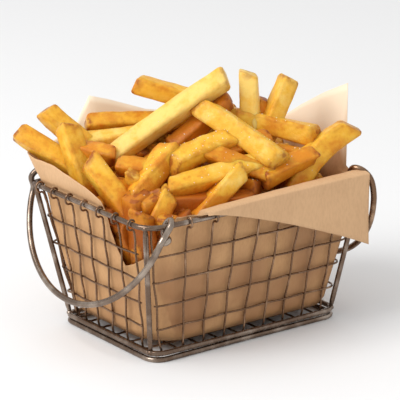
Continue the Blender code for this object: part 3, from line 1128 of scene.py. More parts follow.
    def crossings(
        self,
        row: int,
        ring: list[tuple[Vector, Vector]],
        long_places: list[float],
        short_places: list[float],
    ) -> list[tuple[float, float]]:
        """Return where a level wire passes the uprights, and how it bends there.

        Args:
            row: Number of the level wire, from the foot.
            ring: Its points with their outward directions.
            long_places: x of each upright on the long sides.
            short_places: y of each upright on the ends.

        Returns:
            Index along the ring and bend, run on past both of its ends.
        """
        found = []
        for index, (point, outward) in enumerate(ring):
            along_x = abs(outward.y) > 0.7
            places = long_places if along_x else short_places
            here = point.x if along_x else point.y
            following = ring[(index + 1) % len(ring)][0]
            there = following.x if along_x else following.y
            for order, place in enumerate(places):
                if min(here, there) <= place < max(here, there) and here != there:
                    bend = self.swing if (row + order) % 2 else -self.swing
                    found.append((float(index), bend))
        first, last = found[0], found[-1]
        before, after = (last[0] - len(ring), last[1]), (first[0] + len(ring), first[1])
        return [before] + found + [after]

    def rows(self, finish: bpy.types.Material) -> None:
        """Build the level wires, which weave round the uprights.

        Each one starts and ends at the two uprights beside the front left post.

        Args:
            finish: Finish of the woven wires.
        """
        shape = self.shape
        for row, height in enumerate(self.row_heights):
            lean = (height - self.floor_heights[0]) / (shape.rim_height - self.floor_heights[0])
            long_places = [blend(self.leaning[1], self.leaning[0], lean)]
            long_places += [self.long_place(index, height) for index in range(self.long_count)]
            short_places = [self.short_place(index, height) for index in range(self.short_count)]
            ring = shape.ring(height, shape.wire_inset(height) + self.layer / 2, 1.4)
            crossings = self.crossings(row, ring, long_places, short_places)
            centres = [
                point - outward * crimp(float(index), crossings)
                for index, (point, outward) in enumerate(ring)
            ]
            starts_at = long_places[0] - self.row_stub
            ends_at = short_places[0] - self.row_stub
            cut = [p.x < starts_at and p.y < ends_at for p, _ in ring]
            after = max(index for index, gone in enumerate(cut) if gone) + 1
            centres = [
                centres[(after + step) % len(ring)]
                for step in range(len(ring))
                if not cut[(after + step) % len(ring)]
            ]
            mesh = drawn_wire(centres, self.wire_radius, self.wire_sides)
            self.place_wire(f"woven_row_{row + 1}", mesh, finish, f"row_{row + 1}")


@dataclass
class BailHandle:
    """One bail handle, hung from two eyes bent round the rim."""

    side: Side
    shape: BasketShape = field(default_factory=BasketShape)
    radius: float = 1.75
    tilt: float = 15.0
    pivot: float = 67.0
    half_width: float = 62.6
    drop: float = 56.7
    first_degrees: float = 7.0
    eye_reach: float = 3.5
    eye_height: float = 4.8
    eye_sag: float = 0.3
    eye_shift: float = 0.0
    eye_skew: float = 0.0
    shank_offset: float = 3.0
    eye_turn: tuple[int, int, int] = (275, 4, -15)
    eye_twist: float = 210.0
    shank_share: float = 0.9
    bail_steps: int = 24
    stub: tuple[tuple[float, float, float], ...] = ((-0.8, 5.0, 8.4), (0.6, 4.2, 6.2))
    sides: int = 14
    step: float = 1.6

    def centre_line(self) -> list[Vector]:
        """Return the wire's run as offset, across and drop from its pivot.

        Returns:
            The points, from one end of the wire to the other.
        """
        eye_centre = self.shape.rim_width / 2
        end = [Vector((offset, eye_centre + across, drop)) for offset, across, drop in self.stub]
        for degrees in range(*self.eye_turn):
            angle = math.radians(degrees)
            if degrees > 90:
                offset = self.stub[-1][0] * (degrees - 90) / self.eye_twist
            else:
                offset = -self.shank_offset * self.shank_share * (90 - degrees) / 90
            across = eye_centre + self.eye_reach * math.cos(angle)
            drop = self.eye_sag - self.eye_height * math.sin(angle)
            end.append(Vector((offset, across, drop)))
        bail = []
        first, last = self.first_degrees, 180.0 - self.first_degrees
        for step in range(self.bail_steps + 1):
            angle = math.radians(blend(first, last, step / self.bail_steps))
            across, drop = self.half_width * math.cos(angle), self.drop * math.sin(angle)
            bail.append(Vector((-self.shank_offset, across, drop)))
        other = [Vector((p.x, -p.y, p.z)) for p in reversed(end)]
        for wire_end in (end, other[::-1]):
            for index, point in enumerate(wire_end):
                share = min(index / 2.0, 1.0)
                point.x += (self.eye_shift + self.eye_skew * point.y) * share
        return end + bail + other

    def build(self, finish: bpy.types.Material) -> None:
        """Build the handle on its body, hanging at rest.

        Args:
            finish: Finish of the handle.
        """
        side = self.side.value
        name = self.side.name.lower()
        knots = [Vector((-side * p.x, p.y, -p.z)) for p in self.centre_line()]
        mesh = drawn_wire(smooth_run(knots, self.step), self.radius, self.sides)
        pivot = Matrix.Translation((side * self.pivot, 0.0, self.shape.rim_height))
        hung = pivot @ Matrix.Rotation(-side * math.radians(self.tilt), 4, "Y")
        bmesh.ops.transform(mesh, matrix=hung, verts=mesh.verts)
        set_piece(
            f"bail_{name}", mesh, finish, f"{name}_handle", (f"handle_{name}",)
        )


# ---------------------------------------------------------------- paper liner


@dataclass
class PaperLiner:
    """One sheet of greaseproof paper pressed into the basket.

    Places round the basket count its sides and corners: 0 is the front, 1 the
    near left corner, 2 the left end, 4 the back and 6 the right end.
    """

    shape: BasketShape = field(default_factory=BasketShape)
    thickness: float = 0.22
    gap: float = 2.1
    corners_top: tuple[float, ...] = (28.0, 6.5, 28.0, 10.0)
    corners_foot: tuple[float, ...] = (24.0, 5.5, 24.0, 7.0)
    eye_dent: tuple[float, float, float] = (67.0, 52.0, 2.6)
    eye_spread: float = 7.0
    eye_band: tuple[float, float, float, float] = (66.0, 76.0, 86.0, 92.0)
    creases: tuple[float, float] = (1.5, 1.1)
    pressed: tuple[float, float] = (48.0, 71.0)
    floor: float = 6.2
    wall_top: float = 83.0
    seam: tuple[float, float] = (-0.30, 7.62)
    flap_start: float = -46.0
    flap_tip: float = 67.8
    flap_hang: tuple[float, float, float, float] = (0.8, 40.0, -40.0, 108.0)
    flap_face: tuple[float, float] = (-60.4, 4.5)
    fold_line: tuple[float, float, float, float] = (85.8, 5.2, -50.0, 100.0)
    fold_drop: float = 1.4
    floor_gap: float = 3.0
    floor_curve: float = 6.0
    floor_inset: float = 9.0
    front_face: float = -58.5
    columns: int = 216
    floor_rows: int = 5
    wall_rows: int = 22
    brim_rows: int = 10
    flap_rows: int = 16
    edge: tuple[tuple[float, float, float], ...] = (
        (-0.30, 84.0, 0.0),
        (1.00, 84.0, 0.0),
        (1.18, 84.0, 0.0),
        (1.29, 78.0, 0.0),
        (1.42, 69.0, 0.0),
        (1.58, 60.0, 0.0),
        (1.85, 54.0, 0.0),
        (2.02, 51.5, 0.0),
        (2.10, 61.0, 0.0),
        (2.15, 71.0, 0.0),
        (2.18, 80.0, 0.0),
        (2.22, 86.5, 0.5),
        (2.42, 91.0, 1.0),
        (2.85, 97.0, 2.5),
        (3.36, 100.0, 7.0),
        (3.80, 99.0, 9.0),
        (4.00, 97.0, 10.0),
        (4.235, 107.0, 12.3),
        (4.32, 123.5, 12.3),
        (4.43, 119.5, 12.0),
        (4.65, 110.0, 11.0),
        (5.00, 102.0, 6.0),
        (5.50, 99.0, 5.0),
        (6.00, 103.0, 5.5),
        (6.20, 112.0, 5.8),
        (6.52, 124.0, 5.8),
        (6.80, 133.0, 5.8),
        (6.86, 86.0, 3.0),
        (7.00, 84.0, 0.0),
        (7.62, 84.0, 0.0),
    )

    def section(self, place: float, height: float, outward: float = 0.0) -> Vector:
        """Return the point of the pouch's wall at a place and height.

        Args:
            place: Place round the basket.
            height: Height above the table.
            outward: How far the paper leans out of its wall there.

        Returns:
            The point.
        """
        level = min(height, self.shape.rim_height + 2.0)
        inset = self.shape.wire_inset(level) + self.gap
        half_length, half_width, _ = self.shape.sizes(level, inset)
        turn = place % 8.0
        side = int(turn)
        part = turn - side
        if side % 2:
            start, sign_x, sign_y = {
                1: (270.0, -1, -1), 3: (180.0, -1, 1), 5: (90.0, 1, 1), 7: (0.0, 1, -1)
            }[side]
            corner = self.corner(side, height)
            angle = math.radians(start - 90.0 * part)
            reach = corner + outward
            x = sign_x * (half_length - corner) + reach * math.cos(angle)
            y = sign_y * (half_width - corner) + reach * math.sin(angle)
            return Vector((x, y, height))
        before, after = self.corner((side - 1) % 8, height), self.corner(side + 1, height)
        straight = {
            0: (blend(half_length - before, after - half_length, part), -half_width - outward),
            2: (-half_length - outward, blend(before - half_width, half_width - after, part)),
            4: (blend(before - half_length, half_length - after, part), half_width + outward),
            6: (half_length + outward, blend(half_width - before, after - half_width, part)),
        }[side]
        return Vector((*straight, height))

    def corner(self, side: int, height: float) -> float:
        """Return a corner's radius, which the handle's eyes press in near the rim.

        Args:
            side: Number of the corner.
            height: Height above the table.

        Returns:
            The radius.
        """
        low, high = self.pressed
        share = min(max((height - low) / (high - low), 0.0), 1.0)
        return blend(self.corners_foot[side // 2], self.corners_top[side // 2], share)

    def edge_at(self, place: float) -> tuple[float, float]:
        """Return the height and lean of the upper edge at a place.

        Args:
            place: Place round the basket.

        Returns:
            Height above the table, and how far the edge leans out.
        """
        for (start, low, lean_low), (end, high, lean_high) in zip(self.edge, self.edge[1:]):
            if place <= end:
                share = max((place - start) / (end - start), 0.0)
                return blend(low, high, share), blend(lean_low, lean_high, share)
        return self.edge[-1][1], self.edge[-1][2]

    def flap_depth(self, x: float) -> float:
        """Return how far the folded flap hangs below its fold."""
        shortest, longest, start, length = self.flap_hang
        return shortest + longest * max((x - start) / length, 0.0) ** 1.2

    def flap_reach(self, x: float) -> float:
        """Return the y of the hanging flap, which bows out to the right.

        Args:
            x: Place along the front.

        Returns:
            The place across the basket.
        """
        length = self.flap_tip - 20.0 - self.flap_start
        share = min(max((x - self.flap_start) / length, 0.0), 1.0)
        return self.flap_face[0] - self.flap_face[1] * share**1.2

    def fold_height(self, x: float) -> float:
        """Return the height of the fold over the rim."""
        lowest, rise, start, length = self.fold_line
        return lowest + rise * min(max((x - start) / length, 0.0), 1.0) ** 0.75

    def flapped(self, place: float) -> bool:
        """Return whether the paper folds over the rim at a place."""
        return place < 1.0 and self.section(place, 30.0).x > self.flap_start - 2.0

    def creased(self, point: Vector, place: float, outward: Vector) -> Vector:
        """Return a point of the wall with creases, which only go inwards below the rim.

        Args:
            point: The point on a smooth wall.
            place: Its place round the basket.
            outward: Outward direction of the wall there.

        Returns:
            The point on the creased wall.
        """
        if point.z < self.floor + self.floor_gap:
            return point
        around = Vector((place * 2.4, point.z * 0.018, 3.7))
        soft = noise.noise(around) * 0.5 + 0.5
        sharp = 1.0 - abs(noise.noise(Vector((place * 6.0, point.z * 0.012, 9.1)))) * 2.6
        side = int(place % 8.0)
        corner = 1.0 if side in (1, 5) else 0.45
        snug = 0.2 if side in (3, 7) else 1.0
        depth = (self.creases[0] * soft + self.creases[1] * max(sharp, 0.0) * corner) * snug
        depth *= ease(point.z, self.floor + self.floor_gap, 24.0)
        if point.z > self.wall_top:
            depth -= 0.8
        eye_x, eye_y, deepest = self.eye_dent
        beside = math.hypot(abs(point.x) - eye_x, abs(point.y) - eye_y)
        dent = deepest * math.exp(-((beside / self.eye_spread) ** 2))
        band = self.eye_band
        dent *= ease(point.z, band[0], band[1]) * (1.0 - ease(point.z, band[2], band[3]))
        return point - outward * (depth + dent)

    def column(self, place: float) -> list[Vector]:
        """Return one strip of the pouch, from the middle of its floor to its edge.

        Args:
            place: Place round the basket.

        Returns:
            The points of the strip.
        """
        top, lean = self.edge_at(place)
        flapped = self.flapped(place)
        wall_foot, wall_top = self.floor + self.floor_curve, self.wall_top
        if not flapped and top <= wall_top + 1.0:
            wall_top = blend(wall_foot, top, 0.8)
        middle = Vector((0.0, 0.0, self.floor))
        edge = self.section(place, self.floor, -self.floor_inset)
        rows = [middle.lerp(edge, share) for share in (0.0, 0.35, 0.65, 0.85)]
        rows.append(edge)
        rows.append(self.section(place, self.floor + 1.2, -2.5))
        for step in range(self.wall_rows + 1):
            height = blend(wall_foot, wall_top, step / self.wall_rows)
            rows.append(self.wall_point(place, height, 0.0))
        start = rows[-1]
        for step in range(1, self.brim_rows + 1):
            share = step / self.brim_rows
            if flapped:
                rows.append(self.folded_over(start, share))
            else:
                rows.append(self.wall_point(place, blend(wall_top, top, share), lean * share))
        return rows

    def wall_point(self, place: float, height: float, lean: float) -> Vector:
        """Return a point of the wall, creased along its own outward direction.

        Args:
            place: Place round the basket.
            height: Height above the table.
            lean: How far the paper leans out there.

        Returns:
            The point.
        """
        here = self.section(place, height, lean)
        outward = (self.section(place, height, lean + 1.0) - here).normalized()
        return self.creased(here, place, outward)

    def folded_over(self, start: Vector, share: float) -> Vector:
        """Return a point of the paper where it folds over the front of the rim.

        Args:
            start: Top of the wall.
            share: Share of the way over the rim.

        Returns:
            The point.
        """
        fold = self.fold_height(start.x)
        turn = math.pi * share * 0.5 + math.pi * 0.5 * ease(share, 0.3, 1.0)
        across = blend(start.y, self.flap_reach(start.x), (1.0 - math.cos(turn)) / 2.0)
        rise = start.z + (fold - start.z) * math.sin(min(turn, math.pi / 2))
        return Vector((start.x, across, rise - self.fold_drop * ease(share, 0.6, 1.0)))

    def pouch(self) -> tuple[bmesh.types.BMesh, list[Vector]]:
        """Build the pouch and its raised corners.

        Returns:
            The open sheet, and the points where the flap joins it.
        """
        mesh = bmesh.new()
        rows = self.floor_rows + 1 + self.wall_rows + self.brim_rows
        bmesh.ops.create_grid(mesh, x_segments=self.columns, y_segments=rows, size=1.0)
        knots = [place for place, _, _ in self.edge]
        joins = []
        for index in range(self.columns + 1):
            place = blend(self.seam[0], self.seam[1], index / self.columns)
            near = min(knots, key=lambda knot: abs(knot - place))
            if abs(near - place) < 0.5 * (self.seam[1] - self.seam[0]) / self.columns:
                place = near
            strip = self.column(place)
            if self.flapped(place):
                joins.append(strip[-1])
            for vert in self.grid_column(mesh, index, self.columns):
                vert.co = strip[round((vert.co.y + 1.0) / 2.0 * rows)]
        return mesh, joins

    def grid_column(self, mesh: bmesh.types.BMesh, index: int, columns: int) -> list:
        """Return the vertices of one column of a new grid, which are still in order.

        Args:
            mesh: The grid.
            index: Number of the column.
            columns: How many columns of faces it has.

        Returns:
            The vertices, from one end to the other.
        """
        mesh.verts.ensure_lookup_table()
        across = columns + 1
        return list(mesh.verts)[index::across]

    def flap(self, joins: list[Vector]) -> bmesh.types.BMesh:
        """Build the flap that hangs over the front of the rim.

        Args:
            joins: Points where it joins the pouch.

        Returns:
            The open sheet.
        """
        starts = sorted(joins, key=lambda point: point.x)
        last = starts[-1].x
        for step in range(1, 9):
            x = blend(last, self.flap_tip, step / 8)
            starts.append(Vector((x, self.flap_reach(x), self.fold_height(x) - self.fold_drop)))
        mesh = bmesh.new()
        columns = len(starts) - 1
        bmesh.ops.create_grid(mesh, x_segments=columns, y_segments=self.flap_rows, size=1.0)
        for index, start in enumerate(starts):
            depth = self.flap_depth(start.x)
            for vert in self.grid_column(mesh, index, columns):
                share = (vert.co.y + 1.0) / 2.0
                bulge = 0.5 * math.sin(math.pi * share) + 0.35 * share * math.sin(start.x * 0.09)
                out = start.y + bulge * ease(depth, 2.0, 20.0) - 0.3 * share
                vert.co = Vector((start.x, out, start.z - depth * share))
        return mesh

    def build(self, finish: bpy.types.Material) -> None:
        """Build the liner, give it its thickness, and mark where greasy spots deepened by painted
        shade darken it and where painted light shines through it.

        Args:
            finish: Finish of the paper.
        """
        pouch, joins = self.pouch()
        mesh = joined([pouch, self.flap(joins)])
        bmesh.ops.remove_doubles(mesh, verts=mesh.verts, dist=0.05)
        bmesh.ops.recalc_face_normals(mesh, faces=mesh.faces)
        grease_and_shade = mesh.verts.layers.float.new("grease_and_shade")
        dry_and_backlit = mesh.verts.layers.float.new("dry_and_backlit")
        for vert in mesh.verts:
            x, y, z = vert.co
            behind = y > self.front_face
            # Greasy spots with painted shade: the walls inside the wires darken towards the foot,
            # most on the front.
            soaked = 1.0 if y < -38.0 else 0.6
            walled = behind and z < self.wall_top
            vert[grease_and_shade] = soaked * (1.0 - ease(z, 20.0, 110.0)) if walled else 0.0
            # Painted light shining through the thin sheet: a strip above the rim and the raised
            # corners, most at the back left.
            strip = 0.12 * ease(z, 80.0, 90.0)
            backlit_peak = 1.0 if x < 0.0 and y > 30.0 else 0.8
            backlit_peak *= ease(z, 92.0, 108.0) * ease(x + y, -30.0, -10.0)
            vert[dry_and_backlit] = strip + backlit_peak if behind else 0.12
        piece = set_piece(
            "greaseproof_liner", mesh, finish, "basket", ("paper_liner",)
        )
        sheet = piece.modifiers.new("Sheet thickness", "SOLIDIFY")
        sheet.thickness = self.thickness * MM
        sheet.offset = 0.0


# ---------------------------------------------------------------- fries


@dataclass
class FryStick:
    """One stick of potato, placed by its visible tip and its direction."""

    tip: tuple[float, float, float]
    heading: float
    lift: float
    length: float
    width: float = 9.5
    bend: float = 0.0
    roll: float = 20.0
    browning: Browning = Browning.GOLDEN
    lumps: float = 0.35
    salt: float = 0.25

    def place(self) -> Matrix:
        """Return the frame of the stick.

        Returns:
            The frame, whose +X runs from the stick's tip along it.
        """
        return (
            Matrix.Translation(self.tip)
            @ Matrix.Rotation(math.radians(self.heading), 4, "Z")
            @ Matrix.Rotation(-math.radians(self.lift), 4, "Y")
            @ Matrix.Rotation(math.radians(self.roll), 4, "X")
        )

    def ends(self) -> tuple[Vector, Vector]:
        """Return the two ends of the stick's centre line."""
        place = self.place()
        return place @ Vector((0, 0, 0)), place @ Vector((self.length, 0, 0))


BLOND, PALE, GOLDEN, ORANGE, DARK = Browning

TOP_STICKS = (
    FryStick((14.7, -3.4, 141), 160, -32, 86, 10.5, 1.0, 48, BLOND, 0.2, 0.1),
    FryStick((-14.3, 43.6, 132), -41, -17, 62, 10.0, 0.5, 10, GOLDEN, 0.2, 0.0),
    FryStick((-44.3, 49.6, 112), -18, -4, 60, 9.0, 0.0, 35, GOLDEN, 0.3, 0.0),
    FryStick((-54.3, 41.6, 104), -23, 4, 50, 9.0, 0.5, 15, PALE, 0.3, 0.1),
    FryStick((-67.3, 56.6, 122), -51, -39, 60, 10.0, 0.0, 25, GOLDEN, 0.4, 0.0),
    FryStick((-82.3, 61.6, 111), -52, -31, 60, 10.0, 0.5, 40, GOLDEN, 0.3, 0.0),
    FryStick((-66.3, 35.6, 117), -79, -68, 45, 10.5, 0.0, 10, GOLDEN, 0.3, 0.0),
    FryStick((-68.3, 12.6, 104), -68, -47, 60, 10.5, 1.5, 30, GOLDEN, 0.3, 0.1),
    FryStick((-62.3, 32.6, 104), -56, -5, 23, 9.0, 0.0, 20, ORANGE, 0.4, 0.1),
    FryStick((-26.3, -9.4, 109), -169, -38, 40, 11.5, 0.0, 15, GOLDEN, 0.8, 0.8),
    FryStick((-34.3, -17.4, 101), -8, 14, 42, 10.5, 1.5, 25, GOLDEN, 0.7, 1.8),
    FryStick((-43.3, -26.4, 91), -11, 9, 62, 10.0, 0.0, 35, PALE, 0.4, 0.4),
    FryStick((18.7, -47.4, 101), 113, 26, 55, 11.0, 0.5, 20, PALE, 0.3, 0.5),
    FryStick((52.7, -37.4, 108), 131, 10, 62, 10.0, 0.0, 10, GOLDEN, 0.4, 0.3),
    FryStick((30.7, -2.4, 141), -113, -77, 55, 9.5, 0.5, 30, BLOND, 0.2, 0.0),
    FryStick((52.7, -12.4, 137), -175, -58, 58, 10.0, 0.0, 15, PALE, 0.2, 0.0),
    FryStick((39.7, -5.4, 125), -146, -75, 40, 8.0, 0.0, 40, ORANGE, 0.3, 0.0),
    FryStick((72.7, -44.4, 112), 178, -38, 55, 12.0, 5.0, 20, GOLDEN, 0.5, 0.1),
    FryStick((63.7, -38.4, 106), 177, -21, 50, 9.0, 0.0, 30, GOLDEN, 0.3, 0.1),
    FryStick((-3.3, -41.4, 99), 178, -38, 42, 9.5, 0.0, 15, PALE, 0.4, 0.3),
    FryStick((15.7, -43.4, 92), 143, 22, 42, 9.0, 0.0, 35, ORANGE, 0.4, 0.2),
    FryStick((5.7, -44.4, 87), 110, 10, 42, 8.5, 0.0, 20, ORANGE, 0.6, 0.4),
    FryStick((44.7, -43.4, 97), 138, 10, 46, 9.0, 0.0, 10, ORANGE, 0.5, 0.6),
    FryStick((9.7, -43.4, 91), -6, 18, 34, 9.0, 0.0, 25, ORANGE, 0.5, 0.4),
    FryStick((-58.3, -18.4, 90), -94, -77, 40, 11.0, 0.5, 0, ORANGE, 1.5, 0.3),
    FryStick((-43.3, -30.4, 91), 180, -57, 44, 9.5, 0.0, 30, PALE, 0.4, 0.2),
    FryStick((-42.3, -29.4, 84), -20, -2, 45, 9.0, 0.0, 10, ORANGE, 0.4, 0.2),
    FryStick((-8.3, -20.4, 101), -14, 14, 36, 9.0, 1.0, 40, ORANGE, 0.9, 0.9),
    FryStick((-18.3, 4.6, 103), -14, 35, 44, 9.0, 0.0, 20, DARK, 0.6, 0.3),
    FryStick((-54.3, 4.6, 100), -36, -7, 45, 9.0, 0.0, 30, ORANGE, 0.5, 0.5),
    FryStick((25.7, 31.6, 117), -165, -8, 60, 9.5, 1.0, 15, GOLDEN, 0.3, 0.2),
    FryStick((61.7, 13.6, 108), 165, -6, 60, 9.5, 0.0, 35, GOLDEN, 0.4, 0.2),
    FryStick((9.7, 9.6, 117), 28, -16, 58, 9.0, 0.5, 25, PALE, 0.3, 0.2),
    FryStick((55.7, 37.6, 101), -165, 5, 58, 9.5, 0.0, 10, ORANGE, 0.4, 0.2),
    FryStick((-65.3, -32.4, 84), -70, -76, 36, 9.0, 0.0, 15, ORANGE, 0.7, 0.2),
    FryStick((-55.3, -42.4, 82), -20, -66, 34, 9.0, 0.0, 35, GOLDEN, 0.4, 0.1),
)


def dome(x: object, y: object, half_length: float, half_width: float) -> object:
    """Return the height of a dome over the basket, 1 in the middle and 0 at its walls.

    Args:
        x: Place along the basket, a number or an array.
        y: Place across it.
        half_length: Half length of the dome.
        half_width: Half width of the dome.

    Returns:
        The height, below 0 outside the walls.
    """
    return 1.0 - (abs(x) / half_length) ** 2.4 - (abs(y) / half_width) ** 2.4


HEAP_DOME = (78.0, 58.0)
# Dome under which the sticks get painted shade, darker the lower they lie.
SHADE_DOME = (84.0, 64.0)


@dataclass
class Settling:
    """Lets loose sticks settle among fixed ones, above a core and inside the liner."""

    shape: BasketShape
    steps: int = 170
    sink: float = 0.10
    wall_gap: float = 8.5
    ceiling: tuple[float, float, float] = (84.0, 22.0, 0.16)
    core_centre: float = 56.0
    core_reach: tuple[float, float, float] = (62.0, 44.0, 33.0)

    def closest(
        self,
        a: np.ndarray,
        u: np.ndarray,
        ha: np.ndarray,
        b: np.ndarray,
        v: np.ndarray,
        hb: np.ndarray,
    ) -> tuple[np.ndarray, np.ndarray]:
        """Return how far along each of two centre lines their closest points are.

        Args:
            a: Middles of the first sticks.
            u: Their directions.
            ha: Their half lengths.
            b: Middles of the other sticks.
            v: Their directions.
            hb: Their half lengths.

        Returns:
            Distance along each first stick, and along each other one.
        """
        gap = a[:, None] - b[None]
        d = np.einsum("ik,jk->ij", u, v)
        au = np.einsum("ijk,ik->ij", gap, u)
        bv = np.einsum("ijk,jk->ij", gap, v)
        fall = np.maximum(1.0 - d * d, 1e-3)
        s = np.clip((d * bv - au) / fall, -ha[:, None], ha[:, None])
        t = np.clip(bv + d * s, -hb[None], hb[None])
        s = np.clip(d * t - au, -ha[:, None], ha[:, None])
        return s, t

    def settle(
        self,
        centres: np.ndarray,
        ways: np.ndarray,
        halves: np.ndarray,
        radii: np.ndarray,
        loose: int,
    ) -> None:
        """Move the first sticks, in place, until they hardly touch.

        Args:
            centres: Middle of each stick.
            ways: Direction of each stick.
            halves: Half length of each stick.
            radii: Half width of each stick.
            loose: How many sticks may move; the rest are fixed.
        """
        count = len(centres)
        share = np.where(np.arange(count) < loose, 0.5, 1.0)
        not_self = ~np.eye(loose, count, dtype=bool)
        for _ in range(self.steps):
            a, u, ha = centres[:loose], ways[:loose], halves[:loose]
            s, t = self.closest(a, u, ha, centres, ways, halves)
            near_a = a[:, None] + u[:, None] * s[..., None]
            near_b = centres[None] + ways[None] * t[..., None]
            gap = near_a - near_b
            dist = np.linalg.norm(gap, axis=2) + 1e-9
            over = np.maximum(radii[:loose, None] + radii[None] - dist, 0.0) * not_self
            push = gap / dist[..., None] * (over * share[None] * 0.6)[..., None]
            inertia = (ha**2 / 3.0)[:, None]
            weight = 1.0 / (1.0 + s**2 / inertia)
            shift = (push * weight[..., None]).sum(1)
            turn = (push * (weight * s / inertia)[..., None]).sum(1)
            for mark in (-1.0, 0.0, 1.0):
                back = self.keep_in(a + u * (ha * mark)[:, None], radii[:loose]) * 0.5
                shift += back * 0.5
                turn += back * (mark * ha / (ha**2 / 3.0 + ha**2))[:, None] * 0.5
            shift[:, 2] -= self.sink
            length = np.linalg.norm(shift, axis=1, keepdims=True)
            shift *= np.minimum(1.0, 2.0 / (length + 1e-9))
            centres[:loose] += shift
            turned = u + turn
            ways[:loose] = turned / np.linalg.norm(turned, axis=1, keepdims=True)

    def keep_in(self, points: np.ndarray, radii: np.ndarray) -> np.ndarray:
        """Return the moves that take points back inside the walls and out of the core.

        Args:
            points: Points on the sticks.
            radii: Half widths of the sticks.

        Returns:
            A move for each point.
        """
        back = np.zeros_like(points)
        shape = self.shape
        level = np.minimum(points[:, 2], shape.rim_height)
        rise = (level - shape.base_heights[1]) / (shape.rim_height - shape.base_heights[1])
        open_top = np.clip(points[:, 2] - shape.rim_height - 6.0, 0.0, 12.0) * 0.5
        for axis, low, high in (
            (0, shape.base_length, shape.rim_length),
            (1, shape.base_width, shape.rim_width),
        ):
            limit = (low + (high - low) * rise) / 2 - self.wall_gap - radii + open_top
            back[:, axis] = np.clip(points[:, axis], -limit, limit) - points[:, axis]
        room = dome(points[:, 0], points[:, 1], *HEAP_DOME)
        walls, rise, slope = self.ceiling
        ceiling = walls + rise * np.clip(room, 0.0, 1.0) + slope * points[:, 1] - radii
        back[:, 2] = np.minimum(ceiling - points[:, 2], 0.0)
        reach = np.array(self.core_reach) + radii[:, None] * 0.8
        local = (points - np.array((0.0, 0.0, self.core_centre))) / reach
        inside = np.linalg.norm(local, axis=1)
        deep = np.maximum(1.0 - inside, 0.0)
        away = local * reach
        away[:, 2] += 8.0
        away /= np.linalg.norm(away, axis=1, keepdims=True) + 1e-9
        return back + away * (deep * 30.0)[:, None] * 0.5


